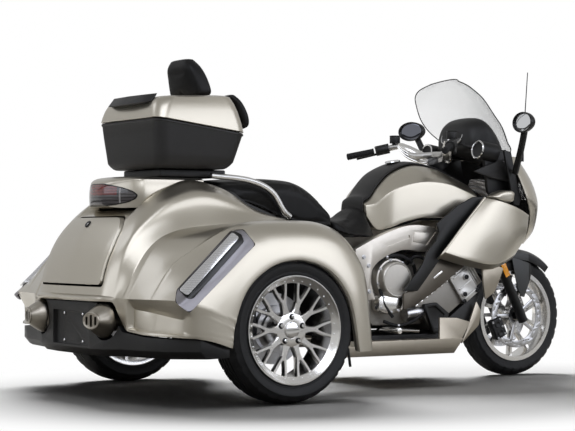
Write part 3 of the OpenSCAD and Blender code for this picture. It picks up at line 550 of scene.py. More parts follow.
def make_plastics(looks):
    for name, colour, rough, grain in (("black_plastic", looks.black, 0.42, 0.12),
                                       ("grey_plastic", looks.grey, 0.46, 0.16),
                                       ("gloss_black", looks.black, 0.16, 0.01), ("liner", looks.black, 0.75, 0.25)):
        plastic = Finish(name, specular_ior_level=0.45)
        plastic.speckle(colour, 0.12, 60)
        plastic.set(roughness=plastic.noise(150, 2.0) * 0.12 + rough)
        plastic.bump(plastic.cells(1400), grain, 0.0006)
    fender = Finish("fender_plastic", specular_ior_level=0.45)
    x = fender.axes()[0]
    fender.set(base_color=fender.mix(x > TIP_X, (0.10, 0.104, 0.108), looks.black),
               roughness=fender.noise(150, 2.0) * 0.12 + 0.36)
    fender.bump(fender.cells(1400), 0.1, 0.0006)
    leather = Finish("seat_leather", specular_ior_level=0.25)
    leather.speckle([c * 0.6 for c in looks.leather], 0.2, 12)
    grain = leather.cells(520, "SMOOTH_F1") + leather.noise(160, 3.0) * 0.5
    leather.set(roughness=leather.noise(40, 2.0) * 0.14 + 0.4)
    leather.bump(grain, 0.22, 0.0009)
    rubber = Finish("grip_rubber", specular_ior_level=0.35)
    rubber.speckle((0.016, 0.016, 0.017), 0.2, 80)
    rubber.set(roughness=rubber.noise(120, 2.0) * 0.14 + 0.6)
    rubber.bump(rubber.cells(700), 0.3, 0.0008)


def make_tyre(looks):
    tyre = Finish("tyre", specular_ior_level=0.4)
    tyre.speckle((0.02, 0.02, 0.021), 0.25, 30)
    tyre.set(roughness=tyre.noise(90, 2.0) * 0.15 + 0.55)
    tyre.bump(tyre.noise(500, 3.0), 0.12, 0.0006)


def make_lenses(looks):
    clear = Finish("lens", roughness=0.04, ior=1.45, coat_weight=0.6, alpha=0.35)
    clear.set(base_color=(0.92, 0.94, 0.96))
    z = clear.axes()[2]
    clear.bump((z * 900).apply("SINE"), 0.05)
    bar = Finish("bar_lens", metallic=0.75, coat_weight=0.8)
    z = bar.axes()[2]
    flutes = (z * 700).apply("SINE") * 0.5 + 0.5
    bar.set(base_color=bar.mix(flutes, (0.80, 0.80, 0.82), (0.90, 0.90, 0.91)), roughness=flutes * 0.05 + 0.14)
    bar.bump(flutes, 0.06, 0.0005)
    red = Finish("red_lens", coat_weight=1.0, roughness=0.12)
    y, z = red.axes()[1:]
    lines = (z * 480).apply("SINE") * 0.5 + 0.5
    across = y.apply("ABSOLUTE")
    glow = (z > 0.872) * (across < 0.13)
    smoke = red.mix(lines, (0.055, 0.048, 0.052), (0.16, 0.145, 0.155))
    lit = red.mix(lines, looks.red, [min(c * 1.7, 1) for c in looks.red])
    strip = (across > 0.140) * (across < 0.147)
    red.set(base_color=red.mix(strip, red.mix(glow, smoke, lit), (0.62, 0.6, 0.62)))
    red.bump(lines, 0.25, 0.001)
    # The reflectors glow faintly in amber, though they hold no lamp: a painted light.
    amber = Finish("amber", coat_weight=0.7, roughness=0.2, emission_strength=0.35)
    amber.set(emission_color=looks.amber)
    amber.set(base_color=amber.mix(amber.cells(420), looks.amber, [min(c * 1.4, 1) for c in looks.amber]))
    amber.bump(amber.cells(420), 0.3, 0.0008)
    screen = Finish("screen", roughness=0.03, ior=1.4)
    rim = screen.node("ShaderNodeLayerWeight", None, 0.35, output="Facing")
    screen.set(base_color=(0.8, 0.84, 0.86), alpha=rim * 0.42 + 0.07)
    # The left mirror's glass is painted bright and the right one's dark, though both are the same glass: a painted
    # reflection.
    mirror = Finish("mirror_glass", metallic=1.0)
    y = mirror.axes()[1]
    mirror.set(base_color=mirror.mix(y > 0, (0.92, 0.94, 0.96), (0.22, 0.23, 0.27)),
               roughness=mirror.noise(8, 1.0) * 0.02 + 0.02)
    bulb = Finish("lamp_bed", metallic=0.9)
    x, y = bulb.axes()[:2]
    ribs = ((x + y) * 420).apply("SINE") * 0.5 + 0.5
    bulb.set(base_color=bulb.mix(ribs, (0.62, 0.62, 0.64), (0.95, 0.95, 0.96)), roughness=ribs * 0.1 + 0.14)
    bulb.bump(ribs, 0.5, 0.002)
    dial = Finish("dial", coat_weight=0.8, roughness=0.3)
    dial.speckle((0.03, 0.03, 0.035), 0.2, 60)


def surface(name):
    return bpy.data.materials[name + "_finish"]


# Rear body

# Ribs of the rear body: y, parts to the next rib, then [x, z] or [x, z, own y] for each column. The columns are the
# low edge, ledge, sill and head of the pocket, crease, middle, upper, shoulder, top rear, top, top middle, top front,
# front shoulder, front and front low
RIBS = [
    [0, 3, [-655, 426], [-658, 430], [-660, 434], [-656, 438], [-644, 447], [-618, 585], [-570, 690], [-505, 775],
     [-400, 806], [-250, 812], [-50, 812], [120, 790], [280, 735], [330, 600], [330, 430]],
    [232, 1, [-652, 426], [-655, 430], [-657, 434], [-653, 438], [-641, 447], [-604, 588], [-548, 690], [-480, 772],
     [-395, 806], [-250, 812], [-50, 812], [120, 785], [285, 735], [340, 600], [340, 430]],
    [246, 2, [-652, 426], [-655, 430], [-656, 434], [-652, 438], [-640, 447], [-602, 588], [-546, 690], [-474, 780],
     [-305, 900], [-185, 936], [-20, 898], [115, 820], [290, 752], [345, 600], [345, 430]],
    [300, 2, [-646, 427], [-648, 430], [-649, 434], [-646, 438], [-634, 446], [-592, 588], [-535, 690], [-462, 778],
     [-310, 876], [-188, 908], [-20, 872], [112, 806], [290, 750], [355, 600], [355, 430]],
    [350, 2, [-614, 424], [-615, 428], [-615, 432], [-613, 437], [-609, 441], [-577, 578], [-522, 690], [-440, 770],
     [-318, 845], [-180, 872], [-12, 832], [108, 788], [290, 748], [365, 600], [368, 425]],
    [364, 3, [-598, 392], [-599, 400], [-600, 410], [-602, 430], [-602, 440], [-566, 574], [-508, 674], [-428, 742],
     [-308, 802], [-178, 824], [-14, 800], [108, 776], [290, 747], [370, 600], [372, 410]],
    [412, 1, [-588, 328], [-590, 338], [-592, 350], [-596, 428], [-597, 438], [-526, 560], [-467, 634], [-408, 676],
     [-318, 708], [-184, 728], [-20, 744], [110, 751], [290, 744], [383, 586], [390, 300]],
    [424, 1, [-586, 313], [-588, 322], [-590, 334], [-596, 428], [-597, 438], [-533, 566], [-476, 644], [-418, 688],
     [-326, 720], [-188, 738], [-20, 747], [110, 751], [290, 743], [386, 582], [394, 274]],
    [440, 1, [-584, 304], [-586, 312], [-588, 322], [-592, 420], [-594, 438], [-524, 567], [-465, 644], [-405, 688],
     [-308, 721], [-178, 739], [-20, 748], [110, 751], [290, 742], [389, 578], [398, 256]],
    [450, 3, [-583, 303], [-584, 311], [-562, 317], [-560, 396], [-590, 438], [-519, 567], [-460, 644], [-399, 688],
     [-304, 722], [-175, 739], [-20, 748], [110, 751], [290, 741], [391, 576], [401, 250]],
    [555, 3, [-577, 293], [-576, 301], [-549, 307], [-532, 384], [-571, 438], [-486, 566], [-421, 642], [-360, 691],
     [-270, 726], [-156, 743], [-20, 752], [118, 755], [300, 731], [411, 553], [426, 191]],
    [626, 1, [-573, 292, 577], [-572, 300, 577], [-545, 306, 577], [-528, 381, 579], [-564, 438, 593], [-470, 566, 591],
     [-385, 642, 640], [-309, 696, 676], [-229, 733, 686], [-131, 752, 676], [-9, 757, 676], [120, 755, 676],
     [290, 711, 666], [405, 529, 656], [430, 190, 646]],
    [640, 3, [-571, 292, 590], [-570, 300, 590], [-543, 306, 590], [-526, 380, 592], [-562, 438, 607], [-472, 567, 605],
     [-387, 643, 654], [-311, 697, 690], [-229, 734, 700], [-130, 752, 690], [-8, 757, 690], [120, 755, 690],
     [290, 710, 680], [405, 528, 670], [430, 190, 660]],
    [745, 2, [-512, 288], [-512, 297], [-503, 303], [-498, 362], [-538, 438], [-402, 564], [-332, 632], [-272, 688],
     [-210, 724], [-112, 744], [0, 748], [118, 742], [268, 690], [388, 515], [420, 190]],
    [786, 2, [-470, 286], [-474, 296], [-476, 310], [-490, 380], [-526, 434], [-374, 542], [-306, 606], [-250, 658],
     [-190, 694], [-101, 716], [4, 720], [108, 712], [242, 660], [355, 492], [395, 191]],
    [812, 1, [-388, 268], [-392, 285], [-394, 300], [-404, 368], [-412, 398], [-326, 500], [-268, 560], [-210, 608],
     [-150, 642], [-74, 660], [8, 664], [90, 654], [200, 602], [314, 450], [354, 192]],
    [822, 0, [-319, 242], [-318, 262], [-316, 282], [-312, 320], [-304, 350], [-274, 436], [-231, 502], [-171, 552],
     [-112, 583], [-51, 599], [10, 603], [77, 592], [170, 550], [275, 408], [315, 195]],
]
RIB_PARTS = [1, 1, 2, 2, 3, 2, 2, 3, 2, 2, 2, 3, 3, 2]
# Ribs and columns whose bends stay crisp
CRISP_RIBS = (2, 6, 7, 8, 9, 11, 12)
CRISP_COLUMNS = (1, 2, 3, 4)
# Face of the rear corners at its inner end, where the body's ridge runs away from it
CORNER_RIB = [660, 2, [-552, 438], [-443, 566], [-382, 640], [-320, 694], [-240, 731], [-131, 750]]
LAMP_TURN = math.radians(32.8)
LAMP_OUTLINE = [[-46, 432], [12, 389], [273, 662], [221, 725], [172, 722], [-44, 480]]
LENS_OUTLINE = [[-34, 480], [4, 458], [208, 692], [178, 714]]
BORDER_OUTLINE = [[-38, 482], [2, 448], [26, 446], [226, 674], [214, 704], [178, 719]]


def rib_net(ribs, parts, fine, sharp=(), sharp_ribs=()):
    """Points of the body's skin on its left half, from the middle out."""
    lines = []
    for rib in ribs:
        points = [at((c[0], c[2] if len(c) > 2 else rib[0], c[1])) for c in rib[2:]]
        lines.append(firm(points, lengths(points), [n * fine for n in parts], sharp))
    places = [rib[0] / 1000 for rib in ribs]
    steps = [rib[1] * fine for rib in ribs[:-1]]
    return [list(row) for row in zip(*[firm(column, places, steps, sharp_ribs) for column in zip(*lines)])]


def mirror_rows(rows):
    flip = [[Vector((p.x, -p.y, p.z)) for p in row] for row in reversed(rows[1:])]
    return flip + rows


def body_skin(fine):
    """The rear body's outer skin with the rolled lips of its wheel arches, evened out between its creases."""
    rows = rib_net(RIBS, RIB_PARTS, fine, CRISP_COLUMNS, CRISP_RIBS[1:])
    ribs = {sum(rib[1] for rib in RIBS[:k]) * fine for k in CRISP_RIBS}
    columns = {sum(RIB_PARTS[:k]) * fine for k in CRISP_COLUMNS}
    middle, edge = at((0, 0, 300)), rows[-1]
    for y, share in ((0.8222, 0.994), (0.8185, 0.985), (0.808, 0.98), (0.792, 0.979)):
        rows.append([Vector((middle.x + (p.x - middle.x) * share, y, middle.z + (p.z - middle.z) * share))
                     for p in edge])
    last, wide = len(rows) - 1, len(rows[0])
    kept = {i * wide + j for i in range(2 * last + 1) for j in range(wide) if abs(i - last) in ribs or j in columns}
    return soften(sheet(mirror_rows(rows)), 3, kept)


def soften(obj, rounds, kept=()):
    """Evens out a skin's bends; its open edges and the kept points stay in place."""
    pick(obj)
    bpy.ops.object.mode_set(mode="EDIT")
    bpy.ops.mesh.select_mode(type="VERT")
    bpy.ops.mesh.select_all(action="DESELECT")
    bpy.ops.mesh.select_non_manifold()
    bpy.ops.object.mode_set(mode="OBJECT")
    for vertex in obj.data.vertices:
        vertex.select = not vertex.select and vertex.index not in kept
    bpy.ops.object.mode_set(mode="EDIT")
    bpy.ops.mesh.vertices_smooth(factor=0.5, repeat=rounds)
    bpy.ops.object.mode_set(mode="OBJECT")
    return obj


def face_out(obj, outside):
    """Turns an open skin's normals to look toward a point outside it."""
    pick(obj)
    middle = obj.data.polygons[len(obj.data.polygons) // 2]
    if (Vector(outside) - middle.center).dot(middle.normal) < 0:
        obj.data.flip_normals()
    return obj


def looking_back(x):
    """A place at an x in millimetres for a plate outlined in y and z."""
    return Matrix(((0, 0, 1, at((x, 0, 0)).x), (1, 0, 0, 0), (0, 1, 0, 0), (0, 0, 0, 1)))


def door_outline(gap):
    half = [(292 - gap, 483 + gap * 1.7), (286 - gap, 640), (262 - gap, 736), (236 - gap, 770 - gap),
            (205 - gap, 782 - gap)]
    return [(y / 1000, z / 1000) for y, z in half] + [(-y / 1000, z / 1000) for y, z in reversed(half)]


def door_prism(gap):
    return cut_plate([[Vector(p) for p in rounded(door_outline(gap), 0.016)]], 0.29, 0, looking_back(-575))


def lamp_prism(outline, side, grow=0.0, radius=0.01):
    """A prism that looks squarely into a rear corner."""
    u = Vector((math.cos(LAMP_TURN), side * math.sin(LAMP_TURN), 0))
    n = Vector((-math.sin(LAMP_TURN), side * math.cos(LAMP_TURN), 0))
    middle = sum((Vector(p) for p in outline), Vector((0, 0))) / len(outline)
    line = [Vector(p) + (Vector(p) - middle).normalized() * grow * 1000 for p in outline]
    start = at((0, 0, 0)) + n * 0.875
    place = Matrix(((u.x, 0, -n.x * side, start.x), (u.y, 0, -n.y * side, start.y), (0, 1, 0, 0), (0, 0, 0, 1)))
    return cut_plate([[p / 1000 for p in rounded(line, radius * 1000)]], 0.27, 0, place)


def corner_skin(side, sunk, thick):
    """The plain curved face that the rear lamps sit in."""
    ribs = []
    for rib in [CORNER_RIB] + [rib[:2] + rib[6:12] for rib in RIBS[13:]]:
        crease, middle = rib[2:4]
        low = [1.5 * crease[0] - 0.5 * middle[0], 1.5 * crease[1] - 0.5 * middle[1]]
        ribs.append(rib[:2] + [low] + rib[2:])
    rows = rib_net(ribs, [2, 3, 2, 2, 3, 2], 3)
    obj = sheet([[Vector((p.x, p.y * side, p.z)) for p in row] for row in rows])
    face_out(obj, at((-900, side * 1400, 700)))
    soften(obj, 4)
    push_out(obj, -sunk)
    return thicken(obj, thick, use_even_offset=True)


class TRIKE_OT_rear_body(bpy.types.Operator):
    """Painted rear body with its trunk door, wheel arches and lamp pockets"""
    bl_idname = "trike.rear_body"
    bl_label = "Rear Body"

    def execute(self, context):
        skin = face_out(body_skin(3), at((0, 0, 4000)))
        body = skin.copy()
        body.data = skin.data.copy()
        context.scene.collection.objects.link(body)
        thicken(body, 0.005)
        carve(body, door_prism(0))
        for side in (-1, 1):
            carve(body, lamp_prism(LAMP_OUTLINE, side))
        dress(body, "rear_body_shell", "chassis", "silver_paint", "rear_body", angle=30)
        thicken(skin, 0.016)
        door = carve(skin, door_prism(6), "INTERSECT")
        barrel = tube([at((-640, 160, 498)), at((-640, 204, 498))], 0.007, 12)
        door = joined(door, mirrored(barrel))
        dress(door, "trunk_door_panel", "trunk_door", "silver_paint", "trunk_door", angle=30)
        hit, spot, normal, _ = door.ray_cast(at((-900, 0, 748)), Vector((1, 0, 0)))
        if not hit:
            raise RuntimeError("The trunk door has no face behind its lock")
        ring = lathe([(0.006, 0), (0.017, 0), (0.017, 0.003), (0.013, 0.005), (0.006, 0.003)], 24, facing(spot, normal))
        dress(ring, "trunk_lock_ring", "trunk_door", "black_plastic", finish="gloss_black")
        barrel = lathe([(0, 0), (0.0075, 0), (0.0075, 0.002), (0, 0.0025)], 20, facing(spot, normal))
        dress(barrel, "trunk_lock_barrel", "trunk_door", "steel", finish="chrome")
        paint_node(surface("liner"), "trunk_tub", "wheel_liners")
        return {"FINISHED"}


class TRIKE_OT_rear_lamps(bpy.types.Operator):
    """Light bars of the rear corners: plate, dark border, ribbed bed and fluted lens"""
    bl_idname = "trike.rear_lamps"
    bl_label = "Rear Lamps"

    def execute(self, context):
        plates, beds, rims, lenses = [], [], [], []
        for side in (-1, 1):
            plate = carve(corner_skin(side, -0.004, 0.011), lamp_prism(LAMP_OUTLINE, side, -0.0015, 0.02), "INTERSECT")
            plates.append(carve(plate, lamp_prism(BORDER_OUTLINE, side)))
            beds.append(carve(corner_skin(side, 0.004, 0.004), lamp_prism(LENS_OUTLINE, side, 0.004), "INTERSECT"))
            rim = carve(corner_skin(side, -0.006, 0.016), lamp_prism(BORDER_OUTLINE, side, -0.0005), "INTERSECT")
            rims.append(carve(rim, lamp_prism(LENS_OUTLINE, side, -0.002)))
            lens = carve(corner_skin(side, -0.018, 0.020), lamp_prism(LENS_OUTLINE, side, -0.0022), "INTERSECT")
            lenses.append(round_edges(lens, 0.014, 5))
        plate = round_edges(joined(*plates), 0.002)
        dress(plate, "lamp_surrounds", "chassis", "lamp_plate", "lamp_plates")
        dress(joined(*beds), "lamp_beds", "chassis", "steel", finish="lamp_bed")
        dress(joined(*rims), "lamp_borders", "chassis", "black_plastic", finish="gloss_black")
        dress(joined(*lenses), "lamp_clear_lenses", "chassis", "lens", "lamp_lenses", finish="bar_lens")
        return {"FINISHED"}


# Exhaust ends from their mouths in: depth, half width, half height
EXHAUST = [[2, 46, 29], [0, 50, 33], [1, 53, 35.5], [4, 55, 38], [6, 55.5, 38.5], [8, 54.5, 38], [20, 59, 48],
           [36, 65, 58], [50, 69.5, 67], [62, 72, 73], [68, 72.8, 74.6], [72, 73, 75], [76, 72, 74], [82, 64, 66]]
EXHAUST_TURN = math.radians(12)
EXHAUST_Z = 345


class TRIKE_OT_rear_underside(bpy.types.Operator):
    """Dark valance with its plate bolts, and the slotted exhaust ends"""
    bl_idname = "trike.rear_underside"
    bl_label = "Valance and Exhaust"

    def execute(self, context):
        dress_copy("rear_valance", "valance", "chassis", "black_plastic", 0.006, 3, 25, angle=40)
        tips, dark = [], []
        for side in (-1, 1):
            turn = Matrix.Rotation(-side * EXHAUST_TURN, 4, "Z")
            place = Matrix.Translation(at((-705 + 52 * math.sin(EXHAUST_TURN), side * 312, EXHAUST_Z))) @ turn
            rings = [[Vector((deep, wide * math.cos(a), tall * math.sin(a))) / 1000
                      for a in (2 * math.pi * k / 48 for k in range(48))] for deep, wide, tall in EXHAUST]
            tip = loft(rings)
            tip.data.transform(place)
            for y, tall in ((-29, 18), (0, 25), (29, 18)):
                line = rounded([(-tall, -7.5), (tall, -7.5), (tall, 7.5), (-tall, 7.5)], 7, 5)
                slot = place @ Matrix.Translation((0.010, y / 1000, 0)) @ Matrix.Rotation(math.pi / 2, 4, "Y")
                carve(tip, cut_plate([[q / 1000 for q in line]], 0.034, 0, slot))
                # A black plate at the bottom of each slot is a painted shade for the dark hollow of the pipe behind it.
                back = place @ Matrix.Translation((0.0215, y / 1000, 0)) @ Matrix.Rotation(math.pi / 2, 4, "Y")
                dark.append(cut_plate([[q / 1000 * 0.97 for q in line]], 0.009, 0, back))
            tips.append(tip)
            tips.append(tube([at((x, side * 298, EXHAUST_Z)) for x in (-624, -430)], 0.045, 32))
        dress(joined(*tips), "exhaust_ends", "chassis", "exhaust", "exhaust_tips")
        dress(joined(*dark), "exhaust_slot_shades", "chassis", "black_plastic", finish="liner")
        bolts = lathe([(0, 0), (0.0065, 0), (0.0065, 0.003), (0.004, 0.005), (0, 0.0055)], 16)
        spots = [facing(at((-618, y, z)), (-1, 0, 0)) for y in (-89, 89) for z in (246, 364)]
        dress(copies(bolts, spots), "plate_bolts", "chassis", "steel", finish="chrome")
        return {"FINISHED"}


# Tail cowl sections: x, half width, low, high
TAIL = [[-512, 24, 843, 898], [-506, 58, 834, 914], [-490, 100, 822, 928], [-468, 140, 818, 938], [-446, 174, 818, 944],
        [-422, 203, 818, 947], [-388, 222, 818, 948], [-300, 227, 820, 948], [-200, 226, 820, 948],
        [-100, 222, 820, 948]]
# Half of the lamp's outline, low to high: half width, z
TAIL_LENS = [[62, 829], [120, 834], [172, 843], [200, 857], [206, 873], [190, 888], [150, 902], [100, 912], [50, 919]]


def tail_rows():
    rows = []
    for x, half, low, high in TAIL:
        rise = high - low
        side = [(half, low), (half + 4, low + rise * 0.5), (half - 4, low + rise * 0.86),
                (half * 0.93, low + rise * 0.97), (half * 0.55, low + rise * 1.05)]
        rows.append(section(x, side))
    return rows


class TRIKE_OT_tail(bpy.types.Operator):
    """Tail cowl under the top case, with its lamps"""
    bl_idname = "trike.tail"
    bl_label = "Tail Cowl"

    def execute(self, context):
        rows = net(tail_rows(), 4, 4)
        cowl = loft(rows)
        dress(cowl, "tail_cowl_shell", "chassis", "silver_paint", "tail_cowl", angle=40)
        made = {}
        for name, grow, out, front in (("red", 0.0, 0.0035, -392), ("rim", 5.0, 0.002, -386)):
            form = push_out(loft(rows), out)
            half = [Vector(p) + Vector((p[0] / 206, (p[1] - 873) / 46)).normalized() * grow for p in TAIL_LENS]
            line = rounded(half + [Vector((-p.x, p.y)) for p in reversed(half)], 14)
            prism = cut_plate([[q / 1000 for q in line]], (front + 540) / 1000, 0, looking_back((front - 540) / 2))
            made[name] = carve(form, prism, "INTERSECT")
        dress(made["rim"], "tail_lamp_rims", "chassis", "black_plastic", finish="gloss_black")
        dress(made["red"], "tail_lamp_lenses", "chassis", "red_lens", "tail_lamp")
        return {"FINISHED"}


# Rings of the case from its floor up and down inside, and of its lid from inside out: rear x, front x, half width,
# corner radius, z at the rear, fall toward the front
CASE_BASE = [[-322, 22, 228, 58, 991, 0], [-331, 32, 238, 60, 996, 0], [-338, 41, 250, 60, 1006, 0],
             [-345, 50, 262, 60, 1020, 0], [-349, 58, 268, 60, 1060, 0.03], [-357, 74, 280, 60, 1140, 0.08],
             [-361, 82, 286, 60, 1190, 0.125], [-364, 86, 289, 60, 1194, 0.13], [-364, 86, 289, 60, 1200, 0.13],
             [-362, 84, 287, 60, 1202, 0.13], [-354, 76, 279, 55, 1202, 0.13], [-352, 72, 276, 54, 1160, 0.1],
             [-337, 42, 254, 55, 1022, 0], [-322, 22, 228, 55, 998, 0]]
CASE_LID = [[-240, -40, 190, 50, 1296, -0.04], [-322, 26, 254, 55, 1282, -0.04],
            [-344, 58, 270, 55, 1252, 0.04], [-352, 74, 277, 55, 1207, 0.13], [-362, 84, 287, 60, 1206, 0.13],
            [-365, 87, 290, 60, 1209, 0.13], [-364, 86, 289, 60, 1214, 0.13], [-360, 80, 286, 61, 1232, 0.10],
            [-352, 66, 278, 62, 1258, 0.04], [-343, 52, 272, 64, 1276, 0.0], [-330, 34, 262, 64, 1292, -0.04],
            [-310, 18, 246, 62, 1300, -0.04], [-285, 0, 225, 60, 1304, -0.04],
            [-240, -40, 190, 50, 1306, -0.04]]


def case_ring(x0, x1, half, radius, z, slope, corner=8):
    """A rounded rectangle whose height falls toward the front."""
    line = []
    for sx, sy, start in ((1, 1, 0), (-1, 1, 90), (-1, -1, 180), (1, -1, 270)):
        for k in range(corner + 1):
            a = math.radians(start + 90 * k / corner)
            x = (x1 if sx > 0 else x0) - sx * radius + radius * math.cos(a)
            line.append(at((x, sy * (half - radius) + radius * math.sin(a), z - slope * (x - x0))))
    return line


class TRIKE_OT_top_case(bpy.types.Operator):
    """Top case: grey base on its rack, painted lid and black handle"""
    bl_idname = "trike.top_case"
    bl_label = "Top Case"

    def execute(self, context):
        dress_copy("case_rack", "case_rack_plate", "chassis", "black_plastic", 0.006, 3)
        base = loft([case_ring(*row) for row in CASE_BASE])
        dress(base, "case_tub", "chassis", "grey_plastic", "case_base")
        lid = loft([case_ring(*row) for row in CASE_LID])
        hinge = tube([at((94, 110, 1147)), at((94, 160, 1147))], 0.005, 12)
        leaf = block(at((80, 110, 1151)), at((96, 160, 1161)), 0.002)
        lid = joined(lid, mirrored(hinge), mirrored(leaf))
        dress(lid, "case_lid_shell", "case_lid", "silver_paint", "case_lid")
        dress_copy("lid_trim", "case_handle", "case_lid", "black_plastic", 0.006, 3)
        return {"FINISHED"}


# Seats: x, half width, low, high, dip at the sides, low half width
RIDER_SEAT = [[625, 140, 728, 772, 14, 140], [645, 168, 716, 770, 22, 168], [703, 176, 700, 762, 26, 178],
              [760, 164, 694, 776, 34, 182], [810, 138, 692, 812, 44, 176], [850, 112, 694, 836, 44, 158],
              [866, 96, 700, 838, 40, 140]]
PASSENGER_SEAT = [[-88, 160, 870, 926, 16, 160], [-40, 178, 862, 940, 22, 178], [110, 184, 856, 952, 24, 184],
                  [220, 186, 826, 958, 26, 186], [330, 186, 782, 957, 28, 186], [410, 182, 760, 950, 30, 182],
                  [480, 176, 748, 922, 30, 176], [555, 170, 742, 868, 28, 170], [612, 160, 740, 812, 22, 160],
                  [622, 140, 744, 796, 16, 140]]
# Upright pads: rear x, front x, half width, z
BACKREST = [[108, 140, 190, 1166], [104, 164, 214, 1182], [86, 158, 222, 1230], [58, 122, 216, 1290],
            [36, 80, 196, 1324]]
HEADREST = [[-92, 12, 132, 1319], [-97, 16, 142, 1340], [-112, -4, 132, 1400], [-124, -30, 112, 1450],
            [-112, -62, 80, 1486]]


def seat_rings(table):
    rings = []
    for x, half, low, high, dip, low_half in table:
        side = [(low_half - 10, low), (low_half, low + 14), (half, high - dip), (half * 0.8, high - dip * 0.3),
                (half * 0.4, high)]
        rings.append(section(x, side))
    return rings


def pad_rings(table):
    rings = []
    for rear, front, half, z in table:
        thick = (front - rear) / 2
        line = []
        for k in range(16):
            a = 2 * math.pi * (k + 0.5) / 16
            c, s = math.cos(a), math.sin(a)
            line.append(at(((rear + front) / 2 + thick * math.copysign(abs(c) ** 0.6, c),
                            half * math.copysign(abs(s) ** 0.5, s), z)))
        rings.append(line)
    return rings


def plump(obj, seams, limit):
    """Cloth under pressure swells a pad between the seams that hold it; no point moves past the limit."""
    modify(obj, "REMESH", mode="VOXEL", voxel_size=0.006)
    pinned = [v.index for v in obj.data.vertices if any(seam(v.co) for seam in seams)]
    start = [v.co.copy() for v in obj.data.vertices]
    obj.vertex_groups.new(name="seams").add(pinned, 1.0, "REPLACE")
    cloth = obj.modifiers.new("Cloth", "CLOTH")
    cloth.settings.quality = 6
    cloth.settings.mass = 0.4
    cloth.settings.tension_stiffness = 25
    cloth.settings.compression_stiffness = 25
    cloth.settings.bending_stiffness = 2
    cloth.settings.use_pressure = True
    cloth.settings.uniform_pressure_force = 4
    cloth.settings.vertex_group_mass = "seams"
    cloth.settings.effector_weights.gravity = 0
    cloth.point_cache.frame_start = 1
    cloth.point_cache.frame_end = 20
    for step in range(1, 21):
        bpy.context.scene.frame_set(step)
    pick(obj)
    bpy.ops.object.modifier_apply(modifier=cloth.name)
    bpy.context.scene.frame_set(1)
    for vertex, home in zip(obj.data.vertices, start):
        move = vertex.co - home
        if move.length > limit:
            vertex.co = home + move.normalized() * limit
    pick(obj)
    modify(obj, "SMOOTH", factor=0.5, iterations=4)
    return modify(obj, "SUBSURF", levels=1, render_levels=1)


def shrink(rings, share):
    middle = sum((p for ring in rings for p in ring), Vector()) / sum(len(ring) for ring in rings)
    return [[middle + Vector([(p - middle)[k] * share[k] for k in range(3)]) for p in ring] for ring in rings]


def near_band(axis, place, width):
    return lambda co: abs(co[axis] - place) < width


class TRIKE_OT_seats(bpy.types.Operator):
    """Sewn rider's and passenger's seats, backrest and headrest"""
    bl_idname = "trike.seats"
    bl_label = "Seats"

    def execute(self, context):
        jobs = (("rider_seat_pad", "rider_seat", "chassis", seat_rings(RIDER_SEAT), (0.985, 0.97, 0.96), 0.008),
                ("passenger_seat_pad", "passenger_seat", "chassis", seat_rings(PASSENGER_SEAT), (0.99, 0.97, 0.97),
                 0.008),
                ("backrest_cushion", "backrest_pad", "case_lid", pad_rings(BACKREST), (0.9, 0.97, 0.96), 0.010),
                ("headrest_cushion", "headrest_pad", "case_lid", pad_rings(HEADREST), (0.92, 0.95, 0.97), 0.009))
        for name, node, body, rings, share, limit in jobs:
            fine = net(rings, 1, 5)
            soft = [smooth_loop(ring, 3) for ring in fine]
            pad = loft(shrink(soft, share))
            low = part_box(node)[0]
            seams = [near_band(2, low.z + 0.012, 0.006)]
            if node == "passenger_seat":
                seams += [lambda co: abs(abs(co.y) - 0.135) < 0.004 and co.z > 0.86]
            if node in ("backrest_pad", "headrest_pad"):
                seams = [lambda co, m=low.x: co.x < m + 0.012]
            pad = plump(pad, seams, limit)
            dress(pad, name, body, "seat_leather", node, angle=180)
        return {"FINISHED"}


class TRIKE_OT_rails(bpy.types.Operator):
    """Grab rails and the strips beside the passenger's seat"""
    bl_idname = "trike.rails"
    bl_label = "Grab Rails"

    def execute(self, context):
        path = smooth([at(p) for p in ([-60, 214, 962], [130, 222, 944], [246, 226, 896], [310, 226, 812],
                                       [346, 222, 784])], 6)
        rail = mirrored(tube(path, 0.013, 14))
        dress(rail, "passenger_grab_rails", "chassis", "alloy", "grab_rails")
        dress_copy("seat_strips", "seat_side_strips", "chassis", "black_plastic", 0.004, 2)
        return {"FINISHED"}


# Tank sections: x, top, crease half width, crease z, low half width, low z
TANK = [[848, 866, 100, 842, 108, 790], [884, 890, 130, 850, 140, 728], [930, 944, 168, 895, 166, 734],
        [1000, 1004, 192, 932, 184, 762], [1115, 1046, 208, 954, 196, 786], [1245, 1034, 214, 946, 204, 786],
        [1345, 1000, 214, 918, 206, 790], [1440, 965, 206, 884, 202, 806]]
# The roof from crease to middle, as shares of the half width and the rise
TANK_ROOF = ((1, 0), (0.88, 0.3), (0.72, 0.58), (0.45, 0.88), (0, 1))
# Low rear end of the strip on the tank: x, top, half width, edge z
STRIP_END = [843, 804, 108, 786]
# Spar outlines in x and z
SPAR_TOP = [[700, 636], [842, 700], [965, 740], [1050, 750], [1141, 741], [1200, 728], [1400, 776]]
SPAR_LOW = [[1240, 696], [1160, 648], [1100, 624], [999, 632], [930, 622], [830, 578], [786, 510], [812, 400]]
SPAR_SLOT = [[872, 662], [1008, 703], [1012, 689], [880, 648]]
SPAR_PANEL = [[1030, 724], [1168, 719], [1108, 652], [1024, 664]]


def flat(points, parts):
    """A soft line through x and z points."""
    return [(p.x, p.y) for p in smooth([Vector((x, z, 0)) for x, z in points], parts)]


def studs(spots, y, radius, height):
    """Hexagon bolt heads that stand on a face looking sideways."""
    head = lathe([(0, -0.001), (radius * 1.25, -0.001), (radius * 1.25, height * 0.25), (radius, height * 0.3),
                  (radius, height), (0, height)], 6)
    places = [facing(at((x, s * y, z)), (0, s, 0)) for x, z in spots for s in (-1, 1)]
    return copies(head, places)


